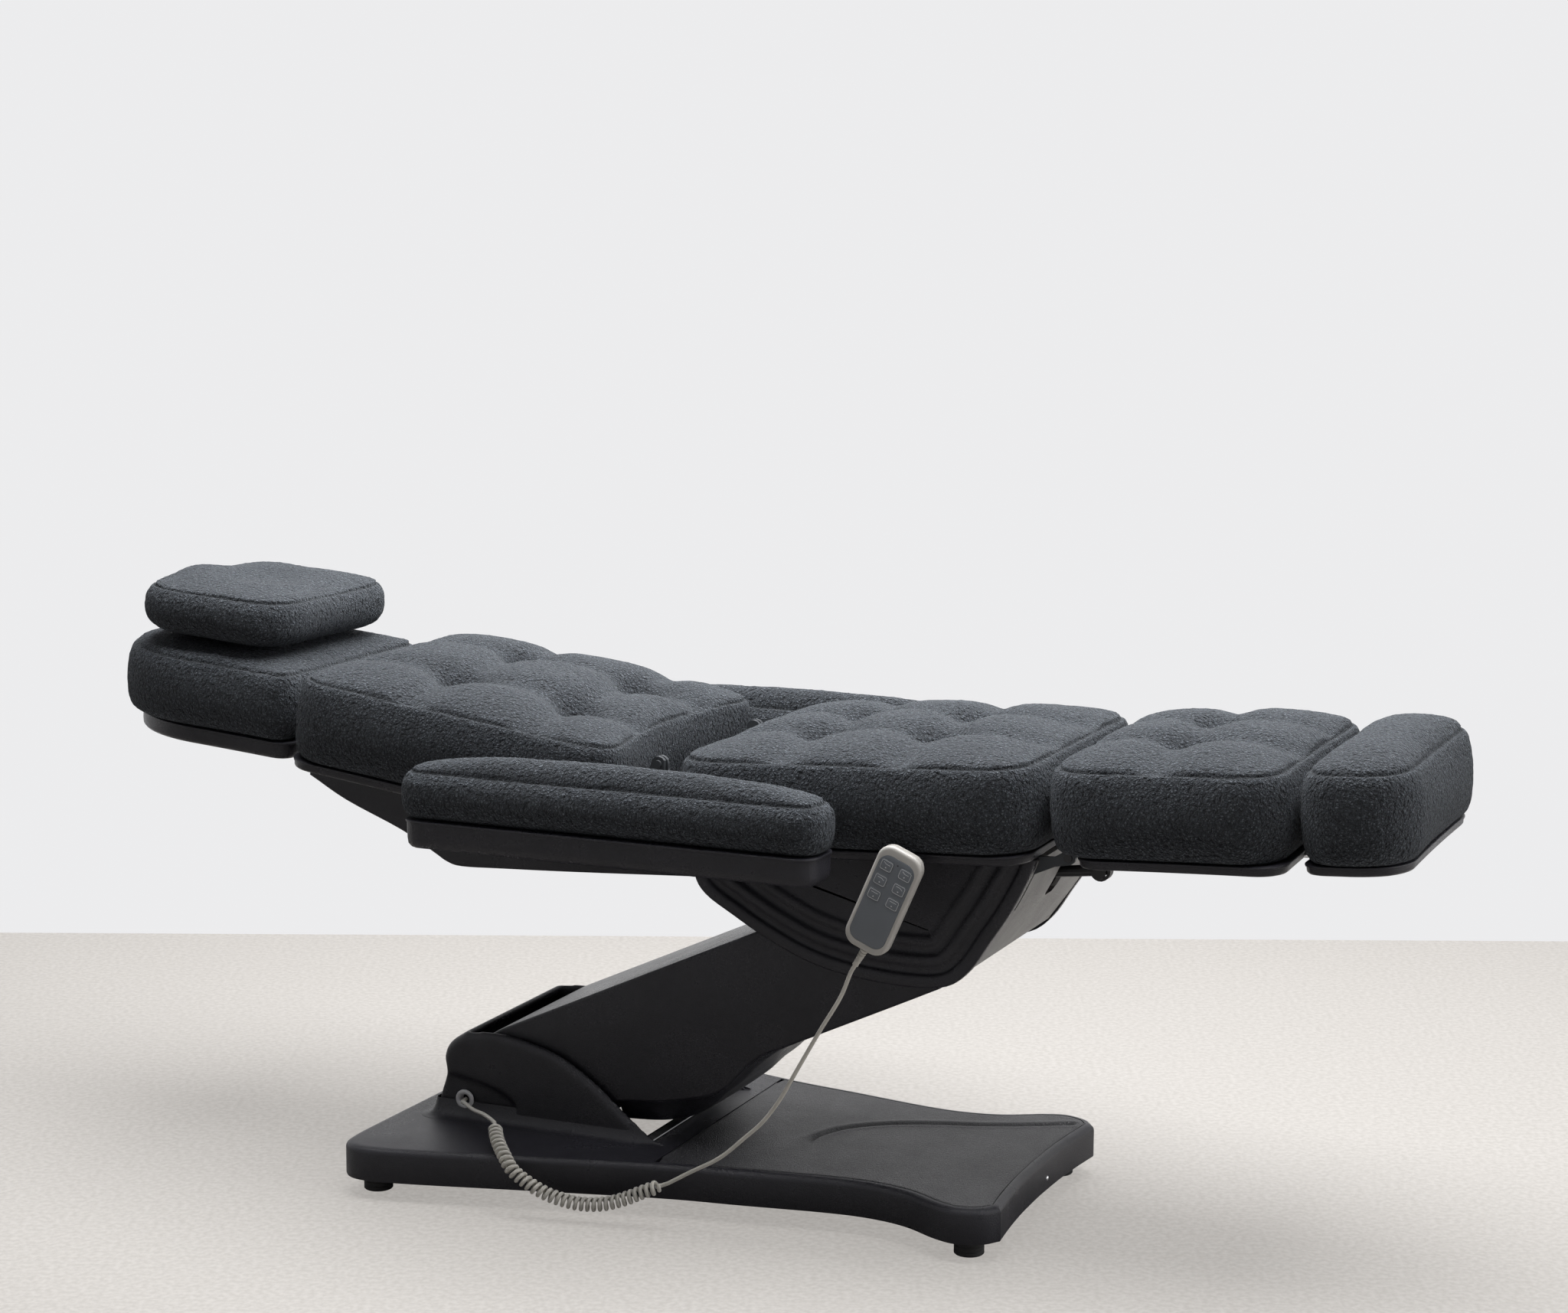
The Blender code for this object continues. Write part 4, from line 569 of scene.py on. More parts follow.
# Flared foot of the hood: each side's strip takes thirty steps along the wall, six round the rear
# corner and six across to the middle, and it stays low where the hood itself is low.
FILLET = [(0.024, 0.0002), (0.017, 0.0008), (0.0115, 0.0026), (0.0072, 0.0058), (0.004, 0.0105),
          (0.0014, 0.017), (-0.001, 0.027)]
hood_height = through(HOOD_FRONT, 5)
for side in (-1, 1):
    rows = []
    for k in range(43):
        if k <= 30:
            x, y, out = -0.062 - 0.3845 * k / 30, HOOD_HALF - 0.0015, Vector((0.0, 1.0))
        elif k <= 36:
            angle = math.radians(90 + 15 * (k - 30))
            x, y = -0.4465 + 0.008 * math.cos(angle), HOOD_HALF - 0.0095 + 0.008 * math.sin(angle)
            out = Vector((math.cos(angle), math.sin(angle)))
        else:
            x, y, out = -0.4545, (HOOD_HALF - 0.0095) * (42 - k) / 6, Vector((-1.0, 0.0))
        tall = max((p.y for p in hood_height if p.x >= x - 0.004), default=SLAB_TOP) - SLAB_TOP
        room = min(1.0, max(tall, 0.002) / 0.03)
        share = 0.35 + 0.65 * room
        row = [(x + out.x * reach * share, side * (y + out.y * reach * share), SLAB_TOP + rise * room)
               for reach, rise in FILLET]
        row += [(row[-1][0] + 0.002, row[-1][1] - side * 0.004, SLAB_TOP - 0.002),
                (row[0][0], row[0][1], SLAB_TOP - 0.002)]
        rows.append(row)
    show("hood_fillet_%d" % (side + 1), loft(rows), SATIN, "base", (), 60)

# Cord grommet and mains inlet: a white moulded ring in the near wall, and a three-pin socket at the rear.
WHITE = fine_skin("white_plastic", (0.74, 0.74, 0.76), 0.34, (60.0, 4.0),
                  ((0.3, (0.68, 0.68, 0.7)), (0.7, (0.78, 0.78, 0.8))), (60.0, 4.0), 0.2, 0.0002)
RING = [(0.0076, -0.008), (0.0116, -0.008), (0.0116, -0.0004), (0.0152, 0.0), (0.0157, 0.0008),
        (0.0156, 0.0022), (0.0146, 0.0034), (0.0128, 0.0041), (0.011, 0.004), (0.0094, 0.0032),
        (0.0082, 0.0018), (0.0076, 0.0)]
show("cord_ring", lathed(RING, (GROMMET[0], -0.1588, GROMMET[1]), (0, -1, 0), 48, True), WHITE, "base",
     ["cord_grommet"], 40)
finish_nodes(BLACK, "mains_inlet")
for number, (y, z) in enumerate(((0.053, 0.107), (0.067, 0.107), (0.06, 0.1135))):
    pin = box((-0.456, y - 0.001, z - 0.002), (-0.4355, y + 0.001, z + 0.002), 0.0004)
    show("inlet_pin_%d" % number, pin, STEEL, "base")

# Pivot stand, shafts, parallel link and lift motor: plain steelwork inside the hood and the arm.
COATED = brushed_metal("charcoal_coated_steel", (0.036, 0.04, 0.046), 0.62, 0.0, 700.0)
finish_nodes(STEEL, "lower_shaft", "upper_shaft", "parallel_link")
finish_nodes(PAINTED, "arm_frame", "leg_hinge_frame", "leg_motor_rod")
finish_nodes(COATED, "carriage_frame", "back_hinge_frame")
finish_nodes(BLACK, "lift_motor_tube", "back_motor_tube", "leg_motor_tube", "handset_hook")
finish_nodes(CHROME, "lift_motor_rod", "back_motor_rod", "head_bars")
show("mouth_strip", box((-0.098, -0.15, 0.081), (-0.082, 0.15, 0.0835), 0.0008), STEEL, "base")

# Arm cover: one smooth sleeve of black ABS over the lift arm, flat at its sides and top,
# with a small roll along every edge; it is open below, where the belly pan is let in.
ARM_HALF = 0.145
ARM_SKIN = [(-0.362, 0.2165), (0.2, 0.476), (0.33, 0.5), (0.363, 0.488), (0.3925, 0.3765), (0.311, 0.337),
            (0.131, 0.251), (0.088, 0.232), (0.06, 0.204), (0.035, 0.174), (0.001, 0.158), (-0.069, 0.142),
            (-0.139, 0.135), (-0.215, 0.118), (-0.31, 0.1), (-0.362, 0.098), (-0.392, 0.112), (-0.402, 0.145),
            (-0.392, 0.186)]
arm_cover = show("arm_sleeve", prism(eased(ARM_SKIN, 0.022, 4), -ARM_HALF, ARM_HALF, 'Y', 0.0042), SATIN,
                 "lift_arm", ["arm_cover"], 40)
ARM_HOLLOW = [(-0.45, 0.05), (-0.45, 0.1695), (0.2, 0.4695), (0.2, 0.6), (0.55, 0.6), (0.55, 0.05)]
carved(arm_cover, [prism(ARM_HOLLOW, -0.1375, 0.1375)], 40)

PAN_LINE = through([(-0.15, 0.134, 0.0935), (-0.101, 0.139, 0.0965), (-0.069, 0.143, 0.102),
                    (-0.04, 0.149, 0.111), (-0.006, 0.157, 0.131), (0.022, 0.17, 0.159),
                    (0.045, 0.187, 0.178), (0.07, 0.213, 0.204), (0.1, 0.237, 0.229),
                    (0.131, 0.251, 0.2485)], 4)
PAN_CELLS, PAN_HALF, PAN_THICK = 32, 0.1368, 0.005
rows = []
for station in PAN_LINE:
    row = []
    for k in range(PAN_CELLS + 1):
        v = 2 * k / PAN_CELLS - 1
        swell = 0.5 - 0.5 * math.cos(math.pi * min(1.0, (1 - abs(v)) / 0.22))
        low = station.y + (station.z - station.y) * swell * (1 - 0.1 * v * v)
        row.append((station.x, v * PAN_HALF, low))
    rows.append(row)
show("arm_belly", sheet(rows, lambda z: z + PAN_THICK), SATIN, "lift_arm",
     ["arm_belly_pan"], 50)

# Side shrouds: deep moulded shells under the seat, one each side. Round ribs follow the lower
# edge in three steps, the middle is a flat panel, and a thin flange runs along the top.
SHROUD_INNER = 0.175
SHROUD_EDGE = [(0.001, 0.553), (0.003, 0.51), (0.021, 0.482), (0.065, 0.455), (0.116, 0.427), (0.181, 0.399),
               (0.251, 0.383), (0.341, 0.377), (0.4, 0.384), (0.435, 0.411), (0.464, 0.454), (0.494, 0.5),
               (0.519, 0.549), (0.531, 0.5805)]
SHROUD_STEPS = [(0.0, 0.0), (0.0, 0.01), (0.0015, 0.0136), (0.005, 0.015), (0.013, 0.015), (0.018, 0.0132),
                (0.0205, 0.0098), (0.0245, 0.0088), (0.03, 0.0098), (0.035, 0.0128), (0.04, 0.014),
                (0.0455, 0.0128), (0.0495, 0.0088), (0.054, 0.007), (0.06, 0.0078), (0.064, 0.0098),
                (0.069, 0.0104), (0.074, 0.009), (0.078, 0.0058), (0.083, 0.005)]
shroud_edge = through(SHROUD_EDGE, 4)


def shroud_ring(inset):
    """The shroud's outline drawn in from its lower edge, while its top edge stays."""
    spots = []
    last = len(shroud_edge) - 1
    for i, here in enumerate(shroud_edge):
        along = (shroud_edge[min(i + 2, last)] - shroud_edge[max(i - 2, 0)]).normalized()
        inward = Vector((-along.y, along.x))
        ends = min(i, last - i) / 6
        if ends < 1:
            level = Vector((1.0, 0.052)) if i < last / 2 else Vector((-1.0, -0.052))
            inward = level.lerp(inward, ends)
        spots.append(here + inward * inset)
    clear = []
    for i in range(last + 1):
        away = [(spots[i] - other).length for k, other in enumerate(shroud_edge) if abs(k - i) > 1]
        clear.append(i in (0, last) or min(away) > 0.93 * inset)
    for i in range(last + 1):
        if not clear[i]:
            before = max(k for k in range(i) if clear[k])
            after = min(k for k in range(i, last + 1) if clear[k])
            spots[i] = spots[before].lerp(spots[after], (i - before) / (after - before))
    return spots


for side, side_name in ((-1, "near"), (1, "far")):
    rings = [[(p.x, side * (SHROUD_INNER + max(step.y, 0.0)), p.y) for p in shroud_ring(max(step.x, 0.0))]
             for step in through(SHROUD_STEPS, 2)]
    show("seat_shroud_" + side_name, loft(rings), SATIN, "seat_carriage",
         ["side_shroud_" + side_name], 42)
    lip = [(0.006, 0.5495), (0.522, 0.5765), (0.5235, 0.58), (0.0045, 0.553)]
    show("shroud_flange_" + side_name, prism(lip, *sorted((side * 0.1752, side * 0.1935)), 'Y', 0.0012),
         SATIN, "seat_carriage")

# End shroud: a curved sheet that closes the shrouds at the foot end, notched in a V at its middle.
END_EDGE = [(0.43, 0.4085), (0.464, 0.456), (0.494, 0.502), (0.519, 0.5505), (0.53, 0.577)]
outer = through(END_EDGE, 5)
inner = [p + Vector((-0.005, 0.003)) for p in outer]
# Its pale colour is painted light, standing in for the floor's reflection on the sheet's lower face.
end_shroud = show("end_shroud_sheet", prism(outer + list(reversed(inner)), -0.1747, 0.1747, 'Y', 0.0012),
                  PAINTED_LIGHT_PLASTIC, "seat_carriage", ["end_shroud"], 35)
cuts = [box((0.44, low, 0.5), (0.56, high, 0.6)) for low, high in ((-0.1698, -0.1622), (0.1622, 0.1698))]
cuts.append(box((0.455, -0.1622, 0.56), (0.4925, 0.1622, 0.6)))
V_NOTCH = [(-0.034, 0.6), (-0.026, 0.545), (-0.021, 0.496), (-0.014, 0.49), (0.014, 0.49), (0.021, 0.496),
           (0.026, 0.545), (0.034, 0.6)]
cuts.append(loft([[(x, y, z) for y, z in V_NOTCH] for x in (0.44, 0.6)]))
carved(end_shroud, cuts, 35)

# Trays: a shallow moulded dish under every cushion, screwed to the frame, with a rolled lower
# edge and a thin rim at the top.
SEAT_PLANE = Matrix.Translation((0, 0, 0.59)) @ turned_by(-3.0, 'Y')
BACK_PLANE = Matrix.Translation((-0.06, 0, 0.6)) @ turned_by(7.5, 'Y')
HEAD_PLANE = Matrix.Translation(BACK_PLANE @ Vector((-0.64, 0, -0.041))) @ turned_by(4.5, 'Y')


class Plan:
    """A rounded rectangle seen from above, whose sides draw in between its corners."""

    def __init__(self, start, end, half, start_corner, end_corner, draw_start=0.004, draw_end=0.004,
                 draw_side=0.004):
        self.start, self.end, self.half = start, end, half
        self.start_corner, self.end_corner = start_corner, end_corner
        self.draw_start, self.draw_end, self.draw_side = draw_start, draw_end, draw_side

    def spot(self, u, v, inset=0.0):
        """The point at u along and v across, both from -1 to 1."""
        first = self.start + inset + self.draw_start * (1 - v * v)
        last = self.end - inset - self.draw_end * (1 - v * v)
        half = self.half - inset - self.draw_side * (1 - u * u)
        x = first + (last - first) * (u + 1) / 2
        y = half * v
        at_start = u < 0
        corner = max((self.start_corner if at_start else self.end_corner) - inset, 0.004)
        centre_x = first + corner if at_start else last - corner
        beyond = centre_x - x if at_start else x - centre_x
        across = abs(y) - (half - corner)
        if beyond > 0 and across > 0:
            p, q = beyond / corner, across / corner
            beyond = corner * p * math.sqrt(1 - q * q / 2)
            across = corner * q * math.sqrt(1 - p * p / 2)
            x = centre_x - beyond if at_start else centre_x + beyond
            y = math.copysign(half - corner + across, y)
        return x, y

    def border(self, inset=0.0):
        """Points round the plan, close together at its corners."""
        stops = [-1 + 2 * k / 40 for k in range(40)]
        walk = [(u, -1) for u in stops] + [(1, v) for v in stops] + [(-u, 1) for u in stops]
        walk += [(-1, -v) for v in stops]
        return [self.spot(u, v, inset) for u, v in walk]


def tray(name, plan, low, high, body, plane, stands_for, roll=0.008):
    """A moulded dish from its rolled lower edge to its thin upper rim."""
    levels = [(roll * 1.6, low + 0.0004), (roll * 0.9, low), (roll * 0.4, low + roll * 0.12),
              (roll * 0.12, low + roll * 0.45), (0.0006, low + roll), (0.0004, high - 0.0045),
              (-0.0012, high - 0.0038), (-0.0016, high - 0.0025), (-0.0012, high - 0.001), (0.0006, high)]
    rings = [[(x, y, z) for x, y in plan.border(inset)] for inset, z in levels]
    return show(name, loft(rings), SATIN, body, stands_for, 38, plane)


TRAY_LOW, TRAY_TOP = -0.034, -0.0196
tray("seat_dish", Plan(0.008, 0.536, 0.262, 0.045, 0.055), TRAY_LOW, TRAY_TOP, "seat_carriage", SEAT_PLANE,
     ["seat_tray"])
tray("back_dish", Plan(-0.598, -0.04, 0.262, 0.05, 0.045, 0.004, 0.035), -0.049, -0.0336, "backrest",
     BACK_PLANE, ["back_tray"])
tray("head_dish", Plan(-0.338, 0.012, 0.202, 0.175, 0.03, 0.0, 0.003), -0.018, 0.01, "headrest", HEAD_PLANE,
     ["head_tray"], 0.012)
tray("leg_dish", Plan(0.604, 0.8985, 0.256, 0.04, 0.045), TRAY_LOW, TRAY_TOP, "leg_rest", SEAT_PLANE,
     ["leg_tray"])
tray("foot_dish", Plan(0.9165, 1.058, 0.232, 0.035, 0.08), TRAY_LOW, TRAY_TOP, "footrest", SEAT_PLANE,
     ["foot_tray"])
for side in (-1, 1):
    slide = lathed([(0.0004, 0.0), (0.0044, 0.0), (0.0048, 0.0006), (0.0048, 0.26), (0.0004, 0.26)],
                   (0.71, side * 0.12, -0.0268), (1, 0, 0), 20)
    show("foot_slide_%d" % (side + 1), slide, CHROME, "footrest", (), 35, SEAT_PLANE)
    pin = lathed([(0.0004, 0.24), (0.006, 0.24), (0.006, 0.3495), (0.0054, 0.35), (0.0004, 0.35)],
                 (0.2, 0.0, 0.5735), (0, side, 0), 20)
    show("armrest_pivot_%d" % (side + 1), pin, STEEL, "seat_carriage")

ARMREST_PLANS = {"near": -0.3605, "far": 0.3605}
for side_name, y in ARMREST_PLANS.items():
    tray("armrest_dish_" + side_name, Plan(-0.366, 0.284, 0.0465, 0.03, 0.03, 0.001, 0.001, 0.001),
         0.558, 0.601, "armrest_" + side_name, Matrix.Translation((0, y, 0)),
         ["armrest_tray_" + side_name], 0.016)


# Back shell: a deep moulded trough under the backrest that hides its hinge and motor.
def under_back(x):
    """Height of the back tray's underside at X."""
    return (BACK_PLANE @ Vector(((x + 0.0666) / math.cos(math.radians(7.5)), 0, -0.0494))).z


SHELL_LOW = [(-0.674, 0.598), (-0.608, 0.563), (-0.511, 0.525), (-0.454, 0.495), (-0.43, 0.482),
             (-0.404, 0.477), (-0.335, 0.48), (-0.204, 0.487), (-0.013, 0.499)]
shell_start, shell_end = [Vector((x, under_back(x))) for x in (-0.668, -0.013)]
shell_outline = [shell_start] + through(SHELL_LOW, 4) + [shell_end]
back_shell = show("back_trough", prism(shell_outline, -0.16, 0.16, 'Y', 0.0035), SATIN, "backrest",
                  ["back_shell"], 40)
SHELL_HOLLOW = [(-0.661, 0.7), (-0.667, 0.601), (-0.605, 0.5685), (-0.509, 0.5305), (-0.452, 0.5005),
                (-0.428, 0.4875), (-0.404, 0.4825), (-0.335, 0.4855), (-0.204, 0.4925), (0.02, 0.5055),
                (0.02, 0.7)]
carved(back_shell, [prism(SHELL_HOLLOW, -0.155, 0.155), box((-0.169, -0.2, 0.548), (-0.111, 0.2, 0.58))], 40)


# Cushions: cut foam blocks in sewn covers of charcoal boucle. A top panel meets a side band at a
# plain seam, and blind tufts pull the top down between soft humps.
def boucle_cloth(name):
    """Looped wool cloth: curly nubs a few millimetres across, with painted shade in the hollows between them.
    """
    mix = Finish(name, (0.06, 0.07, 0.08), 0.92)
    stray = mix.add("TexNoise", Vector=mix.place, Scale=85.0, Detail=3.0).outputs["Color"]
    shift = mix.add("VectorMath", stray, operation='SCALE', Scale=0.0075).outputs[0]
    moved = mix.add("VectorMath", mix.place, shift, operation='ADD').outputs[0]
    loops = mix.add("TexVoronoi", Vector=moved, feature='SMOOTH_F1', Scale=215.0, Smoothness=0.2)
    small = mix.add("TexVoronoi", Vector=moved, feature='F1', Scale=470.0).outputs["Distance"]
    curl = mix.worked('SINE', mix.worked('MULTIPLY', loops.outputs["Distance"], 13.0))
    height = mix.worked('SUBTRACT', 1.0, loops.outputs["Distance"])
    for share, part in ((-0.35, small), (0.1, curl), (0.18, mix.noise(1500.0, 3.0))):
        height = mix.worked('ADD', height, mix.worked('MULTIPLY', part, share))
    # Painted shade: the colour runs from near black in the hollows of the relief to light on the nub tops.
    tone = mix.ramp(height, (0.34, (0.008, 0.009, 0.012)), (0.62, (0.052, 0.06, 0.071)),
                    (0.96, (0.135, 0.15, 0.172)))
    worn = mix.ranged(mix.noise(7.0, 4.0), 0.0, 1.0, 0.78, 1.2)
    # Painted shade along the seam crease: the colour there is darkened to a quarter.
    seam_crease_shade = mix.ranged(mix.add("Attribute", attribute_name="seam").outputs["Fac"], 0.0, 1.0, 1.0, 0.25)
    final = mix.add("VectorMath", tone, operation='SCALE', Scale=mix.worked('MULTIPLY', worn, seam_crease_shade))
    mix.feed(Base_Color=final.outputs[0], Sheen_Weight=0.22, Sheen_Roughness=0.45,
             Sheen_Tint=(0.62, 0.68, 0.75, 1.0), Specular_IOR_Level=0.25)
    mix.bump(height, 1.0, 0.0095)
    return mix.material


BOUCLE = boucle_cloth("charcoal_boucle")
CELL, CORNER_CELL = 0.0125, 0.012
FOAM_FRAMES = 20
TUFT_HELD, TUFT_STIFF, VALLEY_STIFF = 0.008, 0.042, 0.03


def side_stops(length, first_corner, last_corner, cells):
    """Grid lines from -1 to 1, closer together in the rounded corners."""
    a, b = 2 * first_corner / length, 2 * last_corner / length
    first_cells, last_cells = [max(3, round(corner / CORNER_CELL)) for corner in (first_corner, last_corner)]
    start = [-1 + a * (k / first_cells) ** 1.25 for k in range(first_cells)]
    middle = [-1 + a + (2 - a - b) * k / cells for k in range(cells + 1)]
    end = [1 - b * (k / last_cells) ** 1.25 for k in range(last_cells)]
    return start + middle + list(reversed(end))


def foam_filled(cover, held, give, most):
    """Blow a cover up from inside while its seams, tufts, valleys and underside are held."""
    rest = [v.co.copy() for v in cover.data.vertices]
    group = cover.vertex_groups.new(name="held")
    group.add(held, 1.0, 'REPLACE')
    cloth = cover.modifiers.new("foam", 'CLOTH')
    settings = cloth.settings
    settings.quality = 5
    settings.use_pressure = True
    settings.uniform_pressure_force = 4.0
    settings.vertex_group_mass = "held"
    settings.effector_weights.gravity = 0.0
    settings.tension_stiffness = settings.compression_stiffness = 15.0
    settings.bending_stiffness = 0.8
    cloth.point_cache.frame_start, cloth.point_cache.frame_end = 1, FOAM_FRAMES
    scene = bpy.context.scene
    for number in range(1, FOAM_FRAMES + 1):
        scene.frame_set(number)
    graph = bpy.context.evaluated_depsgraph_get()
    blown = [v.co.copy() for v in cover.evaluated_get(graph).data.vertices]
    cover.modifiers.remove(cloth)
    scene.frame_set(1)
    for vert, before, after, share in zip(cover.data.vertices, rest, blown, give):
        move = (after - before) * share
        if move.length > most:
            move *= most / move.length
        vert.co = before + move


def off_line(spot, first, last):
    """How far a spot lies from a line between two points, seen from above."""
    span = Vector(last) - Vector(first)
    here = Vector(spot[:2]) - Vector(first)
    return (here - span * min(max(here.dot(span) / span.length_squared, 0.0), 1.0)).length


def stuffed(name, plan, low, seam, crown, tufts, valleys, body, plane, dish=(), fill=0.7, tuck=0.014,
            puff=0.024):
    """A sewn cushion: flat below, a full side band, a seam, and a crowned top with tufts and valleys."""
    length = plan.end - plan.start
    us = side_stops(length, plan.start_corner, plan.end_corner,
                    round((length - plan.start_corner - plan.end_corner) / CELL))
    side_corner = min(plan.start_corner, plan.end_corner, 0.6 * plan.half)
    vs = side_stops(2 * plan.half, side_corner, side_corner,
                    max(4, round((2 * plan.half - 2 * side_corner) / CELL)))
    bm = bmesh.new()
    seam_mark = bm.verts.layers.float.new("seam")

    def top_height(x, y, u, v):
        z = seam + crown * ((1 - abs(u) ** 2.7) * (1 - abs(v) ** 2.7)) ** 0.68
        for spot_x, spot_y, depth, reach in tufts:
            away = math.hypot(x - spot_x, y - spot_y)
            z -= depth * (0.62 * math.exp(-(away / reach) ** 2)
                          + 0.38 * math.exp(-(away / (0.38 * reach)) ** 2))
        for first, last, depth, reach in valleys:
            z -= depth * math.exp(-(off_line((x, y), first, last) / reach) ** 2)
        for spot_x, spot_y, depth, reach in dish:
            z -= depth * math.exp(-((x - spot_x) ** 2 + (y - spot_y) ** 2) / reach ** 2)
        return z + 0.0022 * noise.noise(Vector((x * 11, y * 11, seam * 40)))

    def grid(inset, height):
        rows = []
        for u in us:
            spots = [(*plan.spot(u, v, inset), v) for v in vs]
            rows.append([bm.verts.new((x, y, height(x, y, u, v))) for x, y, v in spots])
        sheet_faces(bm, rows)
        return rows

    top = grid(0.0165, top_height)
    bottom = grid(tuck + 0.006, lambda x, y, u, v: low)
    last_u, last_v = len(us) - 1, len(vs) - 1
    walk = [(i, 0) for i in range(last_u)] + [(last_u, j) for j in range(last_v)]
    walk += [(i, last_v) for i in range(last_u, 0, -1)] + [(0, j) for j in range(last_v, 0, -1)]
    tall = seam - low
    band = [(0.015, seam - 0.0042), (0.0105, seam - 0.0052), (0.005, seam - 0.014),
            (0.0018, seam - 0.24 * tall), (0.0004, seam - 0.38 * tall), (0.0, seam - 0.52 * tall),
            (0.04 * tuck, low + 0.34 * tall), (0.16 * tuck, low + 0.21 * tall),
            (0.36 * tuck, low + 0.11 * tall), (0.62 * tuck, low + 0.045 * tall), (tuck, low + 0.01 * tall)]
    rings = [[top[i][j] for i, j in walk]]
    for number, (inset, level) in enumerate(band):
        ring = []
        for i, j in walk:
            x, y = plan.spot(us[i], vs[j], inset)
            vert = bm.verts.new((x, y, level + 0.0012 * noise.noise(Vector((x * 9, y * 9, level * 9)))))
            vert[seam_mark] = float(number == 0)
            ring.append(vert)
        rings.append(ring)
    rings.append([bottom[i][j] for i, j in walk])
    ring_faces(bm, rings)
    bm.verts.index_update()
    held = [v.index for ring in bottom + rings[:3] + rings[-2:-1] for v in ring]
    give = [1.0] * len(bm.verts)
    for vert in [v for row in top for v in row]:
        from_tufts = [math.hypot(vert.co.x - t[0], vert.co.y - t[1]) for t in tufts]
        if from_tufts and min(from_tufts) < TUFT_HELD:
            held.append(vert.index)
        near = min([away / TUFT_STIFF for away in from_tufts]
                   + [off_line(vert.co, v[0], v[1]) / VALLEY_STIFF for v in valleys] + [9.0])
        give[vert.index] = 1.0 - 0.85 * math.exp(-near ** 2)
    cover = placed(name, mesh_of(name, bm, BOUCLE))
    foam_filled(cover, sorted(set(held)), give, puff)
    finer = cover.modifiers.new("finer", 'SUBSURF')
    finer.levels = finer.render_levels = 1
    settled(cover, 180)
    sewn = cover.data.attributes["seam"].data
    skin = [(v.co.copy(), v.normal.copy()) for v in cover.data.vertices]
    for vert, (here, out) in zip(cover.data.vertices, skin):
        if here.z > low + 0.004:
            nub = noise.noise(here * 150.0) + 0.5 * noise.noise(here * 320.0)
            vert.co = here + out * (nub * 0.0009 - 0.002 * sewn[vert.index].value)
    cover.data.transform(plane)
    cover.data.update()
    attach(cover, body)
    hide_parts(name.replace("_cover", ""))


def tuft_rows(stations, across, depth, reach, ends, valley):
    """Tufts in pairs along a cushion, joined by shallow valleys along it, across it and out to its edges."""
    tufts = [(x, side * across, depth, reach) for x in stations for side in (-1, 1)]
    valleys = [((x, -across), (x, across), valley, 0.03) for x in stations]
    valleys += [((x, side * across), (x, side * (across + 0.15)), valley * 0.8, 0.028) for x in stations
                for side in (-1, 1)]
    line = [ends[0]] + list(stations) + [ends[1]]
    valleys += [((a, side * across), (b, side * across), valley * 0.8, 0.03) for a, b in zip(line, line[1:])
                for side in (-1, 1)]
    return tufts, valleys


CUSHION_LOW, SEAM, CROWN = -0.019, 0.108, 0.031
stuffed("seat_cushion_cover", Plan(-0.006, 0.552, 0.275, 0.08, 0.085), CUSHION_LOW, SEAM - 0.002, CROWN,
        *tuft_rows((0.175, 0.35), 0.085, 0.018, 0.052, (0.06, 0.5), 0.014), "seat_carriage", SEAT_PLANE)
stuffed("back_cushion_cover", Plan(-0.607, -0.031, 0.275, 0.08, 0.075, 0.004, 0.036), -0.033, 0.095,
        CROWN + 0.004, *tuft_rows((-0.39, -0.185), 0.105, 0.02, 0.058, (-0.54, -0.08), 0.014),
        "backrest", BACK_PLANE)
stuffed("head_cushion_cover", Plan(-0.3705, 0.016, 0.213, 0.19, 0.04, 0.0, 0.004), 0.0106, 0.118, 0.02,
        [], [], "headrest", HEAD_PLANE, [(-0.115, 0.0, 0.006, 0.1)])
stuffed("pillow_cover", Plan(-0.312, -0.018, 0.19, 0.09, 0.09), 0.14, 0.219, 0.012, [], [], "pillow",
        HEAD_PLANE, [(-0.165, 0.0, 0.014, 0.1), (-0.282, -0.03, -0.014, 0.06)], 0.5, 0.055, 0.006)
stuffed("leg_cushion_cover", Plan(0.5555, 0.9055, 0.269, 0.085, 0.08), CUSHION_LOW, SEAM - 0.003, CROWN,
        *tuft_rows((0.722,), 0.085, 0.017, 0.052, (0.61, 0.86), 0.013), "leg_rest", SEAT_PLANE)
stuffed("foot_cushion_cover", Plan(0.909, 1.0715, 0.249, 0.06, 0.095), CUSHION_LOW, SEAM, CROWN - 0.006,
        [], [], "footrest", SEAT_PLANE)
for side_name, y in ARMREST_PLANS.items():
    stuffed("armrest_cushion_cover_" + side_name, Plan(-0.377, 0.292, 0.0495, 0.04, 0.04, 0.0, 0.0, 0.002),
            0.6016, 0.674, 0.024, [], [], "armrest_" + side_name, Matrix.Translation((0, y, 0)), puff=0.008)

# Handset: two grey half shells, a slate membrane panel let into the front, and six keys in pairs
# that tip the back, raise the legs and lift the bed. It hangs from a hook under the seat.
HANDSET_PLANE = Matrix.Translation((0.3457, -0.2915, 0.5278)) @ turned_by(23.5, 'Y') @ turned_by(90, 'X')


def soft_plastic(name, colour, roughness):
    """Fine matt plastic with a faint spark-eroded texture and slight yellowing."""
    stops = (0.3, [0.93 * c for c in colour]), (0.7, [1.06 * c for c in colour])
    return fine_skin(name, colour, roughness, (22.0, 4.0), stops, (1400.0, 3.0), 0.35, 0.0002)


GREY = soft_plastic("handset_grey", (0.46, 0.445, 0.42), 0.42)
SLATE = soft_plastic("handset_panel", (0.135, 0.15, 0.17), 0.36)
PRINT = soft_plastic("white_key_print", (0.62, 0.63, 0.64), 0.5)
CABLE = soft_plastic("grey_cable", (0.54, 0.52, 0.475), 0.45)


